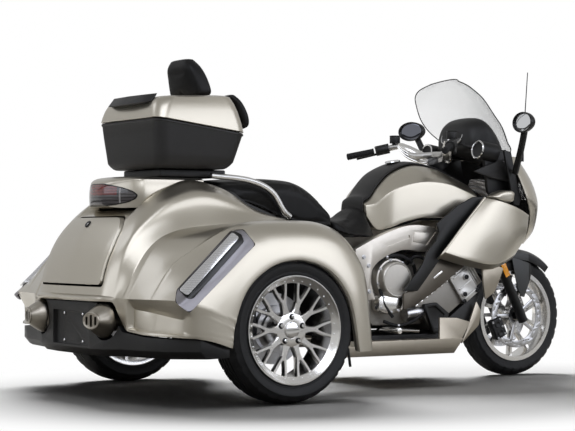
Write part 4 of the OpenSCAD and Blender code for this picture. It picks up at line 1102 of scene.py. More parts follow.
class TRIKE_OT_tank(bpy.types.Operator):
    """Tank cover with its creased sides, black top strip and filler cap"""
    bl_idname = "trike.tank"
    bl_label = "Tank"

    def execute(self, context):
        rows = []
        for x, top, half, crease, low_half, low in TANK:
            wall = [(max(low_half, half + 9), low), (half + 6, (low + crease) / 2), (half, crease)]
            roof = [(half * a, crease + (top - crease) * b) for a, b in TANK_ROOF]
            lines = [smooth([Vector((0, y, z)) for y, z in part], 4) for part in (wall, roof)]
            fine = lines[0][:-1] + lines[1]
            left = [at((x, p.y, p.z)) for p in fine]
            rows.append(left + [Vector((p.x, -p.y, p.z)) for p in reversed(left[:-1])])
        tank = loft(more_rows(rows, 6))
        round_edges(tank, 0.004, 3, 32)
        carve(tank, tube([at(steer_point(700)), at(steer_point(1060))], 0.052, 32))
        dress(tank, "tank_shell", "chassis", "silver_paint", "tank_cover", angle=32)
        rows = []
        for x, top, half, crease in [STRIP_END] + [row[:4] for row in TANK]:
            wide = half + 12
            rows.append([at((x - 6, y * half / wide, crease + (top - crease) * (1 - abs(y / wide) ** 2.5) + 11))
                         for y in range(-96, 97, 12)])
        strip = sheet(more_rows(rows, 5))
        face_out(strip, at((1100, 0, 4000)))
        thicken(strip, 0.007)
        round_edges(strip, 0.0025)
        carve(strip, tube([at(steer_point(900)), at(steer_point(1100))], 0.054, 32))
        dress(strip, "tank_top_strip", "chassis", "black_plastic", "tank_strip")
        cap = lathe([(0, 0), (0.036, 0), (0.038, 0.003), (0.036, 0.008), (0.026, 0.0105), (0.024, 0.009), (0, 0.0095)],
                    40, facing(at((1080, 0, 1052)), (-0.15, 0, 1)))
        dress(cap, "filler_cap", "chassis", "steel", finish="chrome")
        return {"FINISHED"}


def steer_point(z):
    """A point of the steering axis at a height, in millimetres from the rear axle."""
    return (WHEELBASE + STEER_TRAIL - z / math.tan(HEAD_ANGLE), 0, z)


class TRIKE_OT_frame(bpy.types.Operator):
    """Twin cast spars, the frame tubes and the rear axle"""
    bl_idname = "trike.frame"
    bl_label = "Frame"

    def execute(self, context):
        front, rear = [(1470, 776), (1470, 732)], [(765, 400), (742, 520), (700, 590)]
        outline = flat(SPAR_TOP, 6) + front + flat(SPAR_LOW, 6) + rear
        spar = side_plate(outline, 192, 232, 0.006, 6)
        carve(spar, side_plate(SPAR_SLOT, 227, 250, 0, 4))
        inner = side_plate([[1038, 716], [1154, 712], [1104, 660], [1032, 670]], 226, 231, 0.0015, 6)
        carve(spar, side_plate(SPAR_PANEL, 228.5, 250, 0, 8))
        spar = mirrored(joined(spar, inner))
        head = tube([at(steer_point(740)), at(steer_point(905))], 0.044, 32)
        carve(head, tube([at(steer_point(700)), at(steer_point(960))], 0.030, 32))
        cross = block(at((1400, -232, 732)), at((1490, 232, 776)), 0.008)
        dress(joined(spar, head, cross), "frame_castings", "chassis", "alloy", "frame_spars", finish="spar_cast")
        bolts = studs([(776, 440), (772, 560), (1420, 754), (745, 600)], 232, 0.009, 0.007)
        dress(bolts, "spar_bolts", "chassis", "steel")
        dress_copy("rear_frame", "rear_frame_tubes", "chassis", "dark_steel", 0.002)
        dress_copy("rear_axle", "axle_case", "chassis", "dark_steel", 0.004)
        return {"FINISHED"}


class TRIKE_OT_engine(bpy.types.Operator):
    """Engine block, leaning cylinders, side covers, hoses and foot controls"""
    bl_idname = "trike.engine"
    bl_label = "Engine"

    def execute(self, context):
        dress_copy("engine_block", "crankcase", "chassis", "alloy", 0.010, 3, finish="case_cast")
        head = copied("cylinder_head", 0.008, 3)
        ribs = [block((u - 0.0035, s * 0.2525 - 0.003, 0.236), (u + 0.0035, s * 0.2525 + 0.003, 0.318), 0.0015)
                for u in (-0.082, -0.034, 0.030, 0.084) for s in (-1, 1)]
        ribs += [block((-0.070, s * 0.2405 - 0.003, w - 0.003), (0.074, s * 0.2405 + 0.003, w + 0.003), 0.0015)
                 for w in (0.340, 0.354, 0.368) for s in (-1, 1)]
        lean = Matrix.Translation(at((1080, 0, 330))) @ Matrix.Rotation(math.radians(55), 4, "Y")
        fins = joined(*ribs)
        fins.data.transform(lean)
        dress(joined(head, fins), "cylinders", "chassis", "alloy", "cylinder_head")
        heads = lathe([(0, 0), (0.0115, 0), (0.0115, 0.006), (0.008, 0.009), (0.0055, 0.009), (0.0045, 0.004),
                       (0, 0.004)], 12)
        spots = []
        for y, row in ((0.258, ((-0.062, 0.246), (0.062, 0.246), (0, 0.300))),
                       (0.250, ((-0.088, 0.322), (0.092, 0.322), (0.092, 0.228)))):
            spots += [lean @ facing((u, s * y, w), (0, s, 0)) for u, w in row for s in (-1, 1)]
        dress(copies(heads, spots), "head_bolts", "chassis", "steel", finish="dark_steel")
        slant = Matrix.Rotation(math.radians(-32), 4, "Y")
        teeth = copies(block((-0.009, -0.004, -0.006), (0.009, 0.004, 0.006), 0.003),
                       [Matrix.Translation(at((1030 + k * 29, s * 258, 372 + k * 18.5))) @ slant
                        for k in range(9) for s in (-1, 1)])
        dress(teeth, "gasket_lugs", "chassis", "alloy", finish="wheel_alloy")
        cover = lathe([(0, 0), (0.100, 0), (0.100, 0.032), (0.097, 0.038), (0.090, 0.040), (0.088, 0.044),
                       (0.085, 0.066), (0.082, 0.0715), (0.077, 0.074), (0.074, 0.0735), (0.072, 0.071),
                       (0.040, 0.0725), (0, 0.073)],
                      64, facing(at((922, 185.3, 494)), (0, 1, 0)))
        bar = block(at((868, 254, 452)), at((976, 259.5, 455)), 0.001)
        dress(mirrored(joined(cover, bar)), "clutch_covers", "chassis", "alloy", "engine_covers", finish="cover_cast")
        kidney = side_plate([[818, 380], [822, 410], [836, 424], [900, 418], [944, 430], [962, 400], [958, 350],
                             [930, 338], [868, 334], [822, 348]], 185.3, 250, 0.012, 14)
        dress(mirrored(kidney), "water_pump_covers", "chassis", "alloy", "engine_covers", finish="wheel_alloy")
        ring = [(922 + 92 * math.cos(a), 494 + 92 * math.sin(a)) for a in (k * math.pi / 4 + 0.2 for k in range(8))]
        small = [(832, 366), (846, 412), (930, 350), (946, 416), (890, 344)]
        bolts = joined(studs(ring, 224, 0.006, 0.006), studs(small, 250, 0.005, 0.005))
        dress(bolts, "cover_bolts", "chassis", "steel")
        dress_copy("foot_controls", "foot_pedals", "chassis", "alloy", 0.003, finish="wheel_alloy")
        hoses = []
        for path in ([[850, 196, 470], [842, 236, 430], [852, 244, 380], [900, 246, 320]],
                     [[1010, 196, 560], [1040, 226, 600], [1090, 236, 590], [1130, 232, 540]],
                     [[820, 200, 560], [880, 226, 600], [960, 230, 604], [1030, 224, 570], [1060, 210, 520]],
                     [[860, 230, 300], [930, 246, 280], [1020, 246, 300], [1080, 240, 340]]):
            hoses.append(tube(smooth([at(p) for p in path], 8), 0.008, 12))
        dress(mirrored(joined(*hoses)), "engine_hoses", "chassis", "grip_rubber")
        clamps = [lathe([(0.0078, -0.005), (0.0098, -0.005), (0.0098, 0.005), (0.0078, 0.005)], 16,
                        facing(at(spot), way))
                  for spot, way in (((880, 226, 600), (80, 15, 22)), ((1030, 224, 570), (60, -14, -50)),
                                    ((930, 246, 280), (1, 0.1, 0)))]
        starter = lathe([(0, 0), (0.030, 0), (0.033, 0.006), (0.033, 0.090), (0.030, 0.096), (0.012, 0.098),
                         (0, 0.098)], 28,
                        facing(at((990, 215, 330)), (1, 0, 0.12)))
        dress(mirrored(joined(*clamps, starter)), "engine_fittings", "chassis", "steel")
        return {"FINISHED"}


# Side fairing points from the top row to the turned-in low row, front columns last
FAIRING = [[[1392, 318, 880], [1250, 333, 748], [1128, 340, 622], [1120, 306, 592]],
           [[1455, 340, 868], [1345, 354, 722], [1262, 360, 584], [1262, 318, 556]],
           [[1540, 340, 846], [1470, 351, 700], [1404, 352, 562], [1410, 312, 536]],
           [[1612, 326, 824], [1572, 337, 700], [1500, 338, 580], [1508, 300, 556]],
           [[1690, 290, 800], [1664, 299, 702], [1596, 300, 610], [1604, 268, 590]]]
STRIP = [[1165, 600], [1304, 556], [1148, 452], [1008, 370], [945, 353], [945, 430], [1010, 448]]
SHROUD = [[1408, 573], [1470, 566], [1547, 542], [1514, 470], [1489, 427], [1432, 390], [1420, 470]]
FOOT = [[1392, 386], [1420, 340], [1408, 270], [1300, 182], [1340, 260]]
# Nose rows: z, middle x, edge x, half width
NOSE = [[660, 1800, 1716, 200], [720, 1850, 1714, 252], [805, 1880, 1712, 272], [882, 1880, 1668, 300],
        [983, 1842, 1632, 284], [1085, 1764, 1606, 244]]
HEADLAMP = [[34, 878], [184, 900], [226, 948], [206, 990], [70, 968], [34, 934]]
# Screen rows: middle x, middle z, edge x, edge y, edge z
SCREEN = [[1756, 1106, 1600, 236, 1150], [1690, 1190, 1527, 284, 1221], [1618, 1280, 1470, 288, 1284],
          [1548, 1362, 1424, 268, 1356], [1490, 1424, 1394, 236, 1398], [1458, 1452, 1386, 188, 1428],
          [1438, 1470, 1396, 110, 1452]]


def nose_sheet(out):
    rows = [[at((edge + (mid - edge) * max(math.cos(a), 0) ** 1.2, half * math.sin(a), z))
             for a in (math.radians(d) for d in range(-90, 91, 5))] for z, mid, edge, half in NOSE]
    obj = sheet(more_rows(rows, 5))
    return push_out(face_out(obj, at((3000, 0, 900))), out)


def headlamp_prism(grow):
    middle = sum((Vector(p) for p in HEADLAMP), Vector((0, 0))) / len(HEADLAMP)
    line = rounded([Vector(p) + (Vector(p) - middle).normalized() * grow for p in HEADLAMP], 16)
    return joined(*[cut_plate([[Vector((side * p.x / 1000, p.y / 1000)) for p in line]], 0.26, 0, looking_back(1770))
                    for side in (-1, 1)])


class TRIKE_OT_fairing(bpy.types.Operator):
    """Painted side fairings, nose with its headlamps, and the dark trims between them"""
    bl_idname = "trike.fairing"
    bl_label = "Fairing"

    def execute(self, context):
        for side, name in ((1, "left"), (-1, "right")):
            rows = [[at((x, side * y, z)) for x, y, z in row] for row in FAIRING]
            face, under = net([row[:3] for row in rows], 8, 6), net([row[2:] for row in rows], 4, 6)
            panel = sheet([a + b[1:] for a, b in zip(face, under)])
            face_out(panel, at((1450, side * 3000, 900)))
            thicken(panel, 0.006)
            round_edges(panel, 0.003, 3, 28)
            panel = joined(panel, tube(smooth(rows[0], 8), 0.0055, 10))
            dress(panel, "fairing_panel_" + name, "chassis", "silver_paint", "fairing_" + name)
            lined = net([[at((x, side * (y - 9), z)) for x, y, z in row[:3]] for row in FAIRING], 6, 5)
            liner = thicken(sheet(lined), 0.002, 0.0)
            dress(liner, "fairing_liner_" + name, "chassis", "black_plastic", finish="liner")
        liner = carve(thicken(nose_sheet(-0.009), 0.002, 0.0), headlamp_prism(0))
        dress(liner, "nose_liner", "chassis", "black_plastic", finish="liner")
        nose = thicken(nose_sheet(0), 0.006)
        carve(nose, headlamp_prism(0))
        dress(nose, "nose_panel", "chassis", "silver_paint", "nose")
        glass = carve(thicken(nose_sheet(0.001), 0.005), headlamp_prism(-1.5), "INTERSECT")
        dress(glass, "headlamp_glass", "chassis", "lens", "headlamps")
        bowl = carve(thicken(nose_sheet(-0.024), 0.004), headlamp_prism(1), "INTERSECT")
        dress(bowl, "headlamp_bowls", "chassis", "steel", finish="lamp_bed")
        dress_copy("fairing_trims", "fairing_dark_trims", "chassis", "black_plastic", 0.003, 2)
        # The lower strips take the champagne darkened as a painted shade.
        strip = mirrored(side_plate(STRIP, 262, 274, 0.004, 6))
        dress(strip, "lower_strips", "chassis", "alloy", "lower_fairings", finish="brown_panel")
        # A bright alloy sliver on each lower strip is a painted highlight along it.
        dash = mirrored(side_plate([[1115, 502], [1166, 535], [1171, 527], [1121, 494]], 273, 276, 0.0008, 3))
        dress(dash, "strip_painted_highlights", "chassis", "steel", finish="wheel_alloy")
        lower = mirrored(joined(side_plate(SHROUD, 262, 272, 0.004, 12), side_plate(FOOT, 242, 252, 0.004, 10)))
        dress(lower, "lower_shrouds", "chassis", "silver_paint", "lower_fairings", finish="champagne")
        dress_copy("side_pods", "side_pod_shells", "chassis", "silver_paint", 0.006, 3, 25)
        dress_copy("inner_panels", "inner_fairing_panels", "chassis", "grey_plastic", 0.004, 2)
        dress_copy("running_boards", "running_board_shells", "chassis", "silver_paint", 0.008, 3, finish="champagne")
        dress_copy("belly_pan", "belly_pan_shell", "chassis", "black_plastic", 0.006, 3)
        return {"FINISHED"}


class TRIKE_OT_screen(bpy.types.Operator):
    """Clear curved screen with a dark bead along its edge"""
    bl_idname = "trike.screen"
    bl_label = "Screen"

    def execute(self, context):
        rows = []
        for mid_x, mid_z, edge_x, edge_y, edge_z in SCREEN:
            rows.append([at((mid_x + (edge_x - mid_x) * v * v, edge_y * v, mid_z + (edge_z - mid_z) * v * v))
                         for v in (k / 12 for k in range(-12, 13))])
        rows = more_rows(rows, 6)
        edge = rows[0] + [row[-1] for row in rows[1:]] + rows[-1][-2::-1] + [row[0] for row in rows[-2:0:-1]]
        screen = sheet(rows)
        face_out(screen, at((3000, 0, 2000)))
        thicken(screen, 0.004)
        dress(screen, "windscreen_sheet", "chassis", "screen", "windscreen", angle=60)
        bead = tube(edge, 0.0026, 8, cyclic=True)
        dress(bead, "windscreen_bead", "chassis", "grey_plastic")
        return {"FINISHED"}


# Cockpit

class TRIKE_OT_cockpit(bpy.types.Operator):
    """Instrument hood with its dials, speakers and side panels"""
    bl_idname = "trike.cockpit"
    bl_label = "Cockpit"

    def execute(self, context):
        table = [[1440, 84, 1140, 1218], [1458, 128, 1122, 1248], [1505, 150, 1106, 1276], [1560, 160, 1096, 1272],
                 [1640, 140, 1076, 1200], [1700, 104, 1060, 1112]]
        rings = []
        for x, half, low, high in table:
            side = [(half - 10, low), (half, low + 14), (half, high - 70), (half * 0.8, high - 21), (half * 0.4, high)]
            rings.append(section(x, side))
        fine = [smooth_loop(ring, 4) for ring in net(rings, 1, 5)]
        hood = loft(fine)
        brackets = side_plate([[1470, 1112], [1640, 1112], [1690, 900], [1600, 880], [1500, 900]], 190, 212, 0.004, 20)
        shelf = block(at((1500, 100, 1080)), at((1630, 195, 1120)), 0.006)
        aim = (at((1440, 204, 1116)) - at((1540, 204, 1100))).normalized()
        horn = lathe([(0, 0), (0.046, 0), (0.046, 0.096), (0.044, 0.101), (0.040, 0.102), (0.036, 0.096),
                      (0.012, 0.090), (0, 0.094)],
                     40, facing(at((1540, 204, 1100)), aim))
        hood = joined(hood, mirrored(joined(brackets, shelf, horn)))
        dress(hood, "instrument_hood", "chassis", "black_plastic", "dash", angle=40)
        rings = lathe([(0.037, 0.0995), (0.045, 0.099), (0.046, 0.103), (0.042, 0.106), (0.038, 0.104)], 40,
                      facing(at((1540, 204, 1100)), aim))
        dress(mirrored(rings), "speaker_rings", "chassis", "steel", finish="chrome")
        panel = side_plate([[1440, 1006], [1646, 967], [1596, 1069]], 211, 216, 0.002, 14)
        dress(mirrored(panel), "cockpit_side_panels", "chassis", "grey_plastic", finish="lamp_plate")
        face = (-0.94, 0, 0.34)
        dials, bezels = [], []
        for y, z, radius in ((-46, 1186, 0.034), (46, 1186, 0.034), (0, 1222, 0.022), (0, 1166, 0.02)):
            spot = facing(at((1447 + (z - 1186) * 0.3, y, z)), face)
            dials.append(lathe([(0, 0), (radius, 0), (radius, 0.004), (0, 0.004)], 32, spot))
            bezels.append(lathe([(radius * 0.94, 0), (radius * 1.08, 0), (radius * 1.06, 0.007),
                                 (radius * 0.97, 0.007)], 32, spot))
        dress(joined(*dials), "dials", "chassis", "black_plastic", finish="dial")
        dress(joined(*bezels), "dial_bezels", "chassis", "steel", finish="chrome")
        return {"FINISHED"}


class TRIKE_OT_mirrors(bpy.types.Operator):
    """Round-backed mirrors on thick arms, and the antenna"""
    bl_idname = "trike.mirrors"
    bl_label = "Mirrors"

    def execute(self, context):
        def oval(x, w, h):
            return [at((x - 0.16 * w * math.cos(a), 443 + w * math.cos(a), 1238 + h * math.sin(a)))
                    for a in (2 * math.pi * k / 40 for k in range(40))]
        table = [[1526, 72, 39], [1520, 76, 43], [1513, 79, 46], [1513, 82.5, 48.5], [1518, 84, 50], [1530, 83, 48.5],
                 [1540, 80, 46], [1551, 70, 39], [1558, 58, 32], [1563, 45, 24], [1566, 30, 16]]
        shell = loft([oval(*row) for row in table])
        arm = tube(smooth([at(p) for p in ([1546, 430, 1212], [1556, 404, 1160], [1566, 372, 1100], [1584, 326, 1040],
                                           [1600, 293.5, 1006])], 6), 0.016, 14)
        dress(mirrored(joined(shell, arm)), "mirror_shells", "chassis", "black_plastic", "mirrors")
        glass = loft([oval(*row) for row in ([1527, 71.5, 38.5], [1522, 74, 41], [1521, 70, 38], [1520.5, 40, 22])])
        dress(mirrored(glass), "mirror_glasses", "chassis", "steel", finish="mirror_glass")
        rod = tube([at((1646, -290, 1060)), at((1648, -330, 1490))], 0.003, 8, radii=[1.0, 0.7])
        foot = tube([at((1646, -290, 1060)), at((1646.3, -295, 1110))], 0.009, 12, radii=[1.0, 0.6])
        dress(joined(rod, foot), "antenna_rod", "chassis", "dark_steel", "antenna")
        return {"FINISHED"}


BAR = [[1334, 0, 1096], [1296, 120, 1096], [1275, 195, 1142], [1238, 262, 1134], [1204, 292, 1124]]
GRIP_END = [1089, 400, 1094]


class TRIKE_OT_handlebar(bpy.types.Operator):
    """Handlebar on its castings, with grips, switch clusters and fluid cups"""
    bl_idname = "trike.handlebar"
    bl_label = "Handlebar"

    def execute(self, context):
        left = smooth([at(p) for p in BAR], 6)
        bar = tube([Vector((p.x, -p.y, p.z)) for p in reversed(left[1:])] + left, 0.015, 16)
        dress(bar, "handlebar_tube", "steering", "alloy", "handlebar")
        rings = []
        for (x, y, z), long, tall in (([1352, 44, 1070], 28, 16), ([1338, 96, 1082], 28, 27),
                                      ([1298, 150, 1112], 26, 30), ([1274, 194, 1146], 22, 15)):
            rings.append([at((x + a * long, y, z + b * tall)) for a, b in
                          rounded([(-1, -1), (1, -1), (1, 0.4), (0.6, 1), (-0.6, 1), (-1, 0.4)], 0.3, 3)])
        riser = loft(net(rings, 1, 5))
        ribs = []
        for k in range(4):
            path = [[1324, 50, 1058 + k * 6], [1310, 96, 1062 + k * 11], [1272, 150, 1092 + k * 12],
                    [1252, 188, 1132 + k * 7]]
            ribs.append(tube(smooth([at(q) for q in path], 5), 0.0028, 8))
        dress(mirrored(joined(riser, *ribs)), "bar_castings", "steering", "alloy", "bar_risers", finish="wheel_alloy")
        start, end = at(BAR[4]), at(GRIP_END)
        steps = 40
        path = [start + (end - start) * (0.14 + 0.86 * k / steps) for k in range(steps + 1)]
        radii = [0.93 if k % 2 else 1.0 for k in range(steps + 1)]
        radii[1], radii[-2], radii[-1] = 1.0, 1.0, 0.72
        dress(mirrored(tube(path, 0.017, 18, radii=radii)), "bar_grips", "steering", "grip_rubber", "grips")
        dress_copy("bar_controls", "bar_switch_clusters", "steering", "black_plastic", 0.003, 2)
        lids = lathe([(0, 0.0335), (0.0265, 0.0335), (0.0272, 0.036), (0.026, 0.0385), (0, 0.039)], 32,
                     Matrix.Translation(at((1262, 230, 1160))))
        dress(mirrored(lids), "fluid_cup_lids", "steering", "black_plastic", finish="gloss_black")
        direction = (end - start).normalized()
        button = lathe([(0, 0), (0.006, 0), (0.006, 0.004), (0, 0.005)], 16,
                       facing(start + direction * 0.01 + Vector((-0.012, -0.012, 0.016)), (-0.6, -0.4, 0.7)))
        dress(mirrored(button), "switch_buttons", "steering", "red_lens")
        return {"FINISHED"}


# Wheels

def beam(stations, edge):
    """A straight casting arm through [radius, offset across, half width, low z, high z] stations."""
    rings = []
    for radius, across, half, low, high in stations:
        top = half * 0.72
        rings.append([Vector((radius, across + dy, z)) for dy, z in
                      ((-half, low), (half, low), (half, high - edge), (top, high), (-top, high),
                       (-half, high - edge))])
    return loft(rings)


def wheel_place(x, y, z, side):
    """Wheel coordinates, whose z axis looks outward along the axle."""
    return Matrix.Translation((x, y, z)) @ Matrix.Rotation(math.pi / 2 if side < 0 else -math.pi / 2, 4, "X")


def tyre_form(radius, width, round_, grooves, notch):
    """A tyre section spun round, with circular grooves and notched shoulders."""
    bead = RIM_R - 0.010
    half = [(bead, width * 0.36), (RIM_R + 0.003, width * 0.44), (RIM_R + 0.007, width * 0.452),
            (RIM_R + 0.012, width * 0.452), (RIM_R + 0.016, width * 0.468),
            ((RIM_R + radius) / 2 - 0.004, width * 0.498), ((RIM_R + radius) / 2 + 0.004, width * 0.5),
            (radius - round_, width * 0.475), (radius - round_ * 0.7, width * 0.447),
            (radius - round_ * 0.4, width * 0.41), (radius - round_ * 0.1, width * 0.28)]
    crown = []
    for place, wide in grooves:
        base = radius - round_ * 0.1 * (place / (width * 0.28)) ** 2
        crown += [(base, place + wide), (base - 0.006, place + wide * 0.7), (base - 0.006, place - wide * 0.7),
                  (base, place - wide)]
    side = half + sorted(crown, key=lambda p: -p[1])
    profile = side + [(r, -w) for r, w in reversed(side)] + [(bead, 0)]
    steps = 160
    obj = lathe(profile, steps)
    for vertex in obj.data.vertices:
        reach = math.hypot(vertex.co.x, vertex.co.y)
        turn = math.atan2(vertex.co.y, vertex.co.x) / (2 * math.pi) * steps
        cut = round(turn + (2 if vertex.co.z > 0 else 0)) % 5 == 0
        if cut and reach > radius - round_ * 0.75 and abs(vertex.co.z) > notch:
            vertex.co.x *= 1 - 0.005 / reach
            vertex.co.y *= 1 - 0.005 / reach
    return obj


class TRIKE_OT_rear_wheels(bpy.types.Operator):
    """Car-type rear wheels: polished mesh rims with lugs and caps, grooved tyres, brakes"""
    bl_idname = "trike.rear_wheels"
    bl_label = "Rear Wheels"

    def execute(self, context):
        for side, name in ((-1, "right"), (1, "left")):
            place = wheel_place(REAR_AXLE.x, side * WHEEL_Y, REAR_R, side)
            body = "rear_wheel_" + name
            barrel = lathe([(0.207, -0.090), (0.222, -0.096), (0.228, -0.096), (0.228, -0.088), (0.216, -0.082),
                            (0.216, 0.080), (0.2275, 0.087), (0.2275, 0.0935), (0.2265, 0.0958), (0.2225, 0.0958),
                            (0.2195, 0.093), (0.211, 0.084), (0.1965, 0.0765), (0.1945, 0.074), (0.1945, 0.068),
                            (0.207, 0.062)], 96)
            spoke = joined(beam([[0.066, 0, 0.0205, 0.040, 0.0668], [0.074, 0, 0.0172, 0.040, 0.0670],
                                 [0.084, 0, 0.0140, 0.041, 0.0673], [0.098, 0, 0.0122, 0.041, 0.0677],
                                 [0.112, 0, 0.0120, 0.042, 0.0680], [0.124, 0, 0.0128, 0.042, 0.0682],
                                 [0.132, 0, 0.0090, 0.042, 0.0680]], 0.005),
                           *[beam([[0.114, s * 0.0035, 0.0080, 0.042, 0.0680],
                                   [0.132, s * 0.0095, 0.0076, 0.044, 0.0686],
                                   [0.155, s * 0.0185, 0.0070, 0.046, 0.0695],
                                   [0.180, s * 0.0262, 0.0068, 0.047, 0.0708],
                                   [0.2035, s * 0.0322, 0.0078, 0.048, 0.0720]], 0.0045) for s in (-1, 1)])
            spokes = copies(spoke, around(10))
            hub = lathe([(0, -0.04), (0.072, -0.04), (0.074, 0.060), (0.072, 0.0655), (0.067, 0.0675), (0.037, 0.0675),
                         (0.034, 0.064), (0, 0.064)], 64)
            rim = joined(barrel, spokes, hub)
            rim.data.transform(place)
            dress(rim, "rear_rim_cast_" + name, body, "wheel_alloy", "rear_rim_" + name, angle=30)
            cap = lathe([(0, 0.062), (0.033, 0.062), (0.0335, 0.070), (0.031, 0.074), (0.024, 0.0765), (0, 0.0785)], 40,
                        place)
            nuts = copies(lathe([(0, 0.066), (0.0085, 0.066), (0.0085, 0.077), (0.006, 0.080), (0, 0.0805)], 6),
                          [place @ spot for spot in around(5, 0.055, turn=0.3)])
            rivets = copies(lathe([(0, 0), (0.0032, 0), (0.0026, 0.0018), (0, 0.0026)], 8),
                            [place @ spot for spot in around(30, 0.2035, 0.0797, math.pi / 30)])
            dress(joined(cap, nuts, rivets), "rear_cap_and_nuts_" + name, body, "steel", finish="chrome")
            # Gloss black discs round the lug nuts are a painted shade for the recesses the nuts sit in.
            nut_shade_discs = copies(lathe([(0, 0.0675), (0.0125, 0.0675), (0.0125, 0.0692), (0, 0.0692)], 20),
                           [place @ spot for spot in around(5, 0.055, turn=0.3)])
            dress(nut_shade_discs, "rear_nut_wells_" + name, body, "black_plastic", finish="gloss_black")
            disc = lathe([(0.060, -0.080), (0.150, -0.080), (0.150, -0.072), (0.100, -0.072), (0.096, -0.050),
                          (0.060, -0.050)], 72, place)
            dress(disc, "rear_brake_disc_" + name, body, "steel")
            tyre = tyre_form(REAR_R, 0.200, 0.040, [(0.036, 0.0045), (0.012, 0.004)], 0.052)
            tyre.data.transform(place)
            dress(tyre, "rear_tyre_tread_" + name, body, "tyre", "rear_tyre_" + name, angle=28)
        dress_copy("rear_calipers", "rear_brake_calipers", "chassis", "dark_steel", 0.008, 3)
        return {"FINISHED"}


class TRIKE_OT_front_wheel(bpy.types.Operator):
    """Front wheel with its forked spokes, drilled discs and tyre"""
    bl_idname = "trike.front_wheel"
    bl_label = "Front Wheel"

    def execute(self, context):
        place = wheel_place(FRONT_AXLE.x, 0, FRONT_R, -1)
        w = 0.058
        barrel = lathe([(0.206, -w), (0.2265, -w), (0.2275, -w + 0.001), (0.2275, -w + 0.006), (0.215, -w + 0.012),
                        (0.215, w - 0.012), (0.2275, w - 0.006), (0.2275, w - 0.001), (0.2265, w), (0.206, w),
                        (0.202, w - 0.012), (0.202, -w + 0.012)], 96)
        spoke = joined(beam([[0.036, 0, 0.020, -0.018, 0.018], [0.094, 0, 0.015, -0.017, 0.017]], 0.006),
                       *[beam([[0.070, s * 0.004, 0.010, -0.017, 0.017], [0.130, s * 0.034, 0.009, -0.015, 0.015],
                               [0.2035, s * 0.064, 0.010, -0.014, 0.014]], 0.005) for s in (-1, 1)])
        spokes = copies(spoke, around(5))
        hub = lathe([(0.026, -0.060), (0.040, -0.060), (0.042, -0.056), (0.042, 0.056), (0.040, 0.060), (0.026, 0.060)],
                    40)
        rim = joined(barrel, spokes, hub)
        rim.data.transform(place)
        dress(rim, "front_rim_cast", "front_wheel", "wheel_alloy", "front_rim", angle=30)

        def circle(r, n, c=(0, 0)):
            return [Vector((c[0] + r * math.cos(2 * math.pi * k / n), c[1] + r * math.sin(2 * math.pi * k / n)))
                    for k in range(n)]

        discs = []
        for s in (-1, 1):
            reaches = [0.135 + 0.008 * (k % 3) for k in range(30)]
            holes = [circle(0.004, 10, (reach * math.cos(k * math.pi / 15), reach * math.sin(k * math.pi / 15)))
                     for k, reach in enumerate(reaches)]
            ring = cut_plate([circle(0.160, 96), circle(0.126, 72)] + holes, 0.006, 0.0006,
                             place @ Matrix.Translation((0, 0, s * 0.064)))
            arms = copies(beam([[0.040, 0, 0.010, -0.003, 0.003], [0.130, 0, 0.008, -0.003, 0.003]], 0.001),
                          around(5, turn=math.pi / 5))
            middle = lathe([(0.030, -0.003), (0.052, -0.003), (0.052, 0.003), (0.030, 0.003)], 48)
            carrier = joined(arms, middle)
            carrier.data.transform(place @ Matrix.Translation((0, 0, s * 0.064)))
            discs += [ring, carrier]
        dress(joined(*discs), "front_brake_discs", "front_wheel", "steel", "front_discs")
        tyre = tyre_form(FRONT_R, 0.120, 0.056, [(0.020, 0.003), (0.006, 0.003)], 0.030)
        tyre.data.transform(place)
        dress(tyre, "front_tyre_tread", "front_wheel", "tyre", "front_tyre", angle=28)
        return {"FINISHED"}


class TRIKE_OT_fork(bpy.types.Operator):
    """Fork, brake calipers, front fender and reflectors"""
    bl_idname = "trike.fork"
    bl_label = "Fork and Fender"

    def execute(self, context):
        dress_copy("fork", "fork_legs", "steering", "dark_steel", 0.004, 2)
        grips = copied("front_calipers", 0.010, 4)
        lean = Matrix.Translation((FRONT_AXLE.x, 0, FRONT_R)) @ Matrix.Rotation(math.radians(-205), 4, "Y")
        spots = [lean @ facing((0.142, s * 0.083, z), (0, s, 0)) for z in (-0.024, 0.024) for s in (-1, 1)]
        pots = copies(lathe([(0, 0), (0.019, 0), (0.019, 0.002), (0.016, 0.0045), (0.010, 0.005), (0.009, 0.0035),
                             (0, 0.0035)], 28), spots)
        dress(joined(grips, pots), "front_brake_calipers", "steering", "dark_steel", "front_calipers")
        holes = ((0.118, -0.040), (0.118, 0.040), (0.118, 0), (0.166, -0.042), (0.166, 0.042))
        spots = [lean @ facing((r, s * 0.0835, z), (0, s, 0)) for r, z in holes for s in (-1, 1)]
        screws = copies(lathe([(0, 0), (0.006, 0), (0.006, 0.003), (0.0045, 0.0045), (0.003, 0.0045), (0.0025, 0.002),
                               (0, 0.002)], 14), spots)
        dress(screws, "caliper_screws", "steering", "steel")
        dress_copy("front_fender", "front_fender_shell", "steering", "grey_plastic", 0.002, 2, finish="fender_plastic")
        dress_copy("reflectors", "fork_reflectors", "steering", "amber", 0.0015, 2)
        return {"FINISHED"}


def colour(name, description, default):
    return bpy.props.FloatVectorProperty(name=name, description=description, subtype="COLOR", size=3, min=0, max=1,
                                         default=default)


class TrikeLooks(bpy.types.PropertyGroup):
    """Colours of the trike's finishes."""
    paint: colour("Paint", "Metallic champagne silver of the body", (0.56, 0.52, 0.437))
    alloy: colour("Alloy", "Cast and polished aluminium", (0.66, 0.65, 0.63))
    black: colour("Black Plastic", "Black moulded pieces", (0.011, 0.0105, 0.0105))
    grey: colour("Grey Plastic", "Dark grey moulded pieces", (0.030, 0.0285, 0.028))
    leather: colour("Leather", "Seat covers", (0.011, 0.0105, 0.0105))
    exhaust: colour("Exhaust", "Bronze grey exhaust ends", (0.36, 0.33, 0.28))
    red: colour("Red Lens", "Tail lamp lenses", (0.24, 0.03, 0.028))
    amber: colour("Amber", "Fork reflectors", (0.85, 0.33, 0.02))
    floor: colour("Floor", "Pale studio floor", (0.93, 0.93, 0.93))


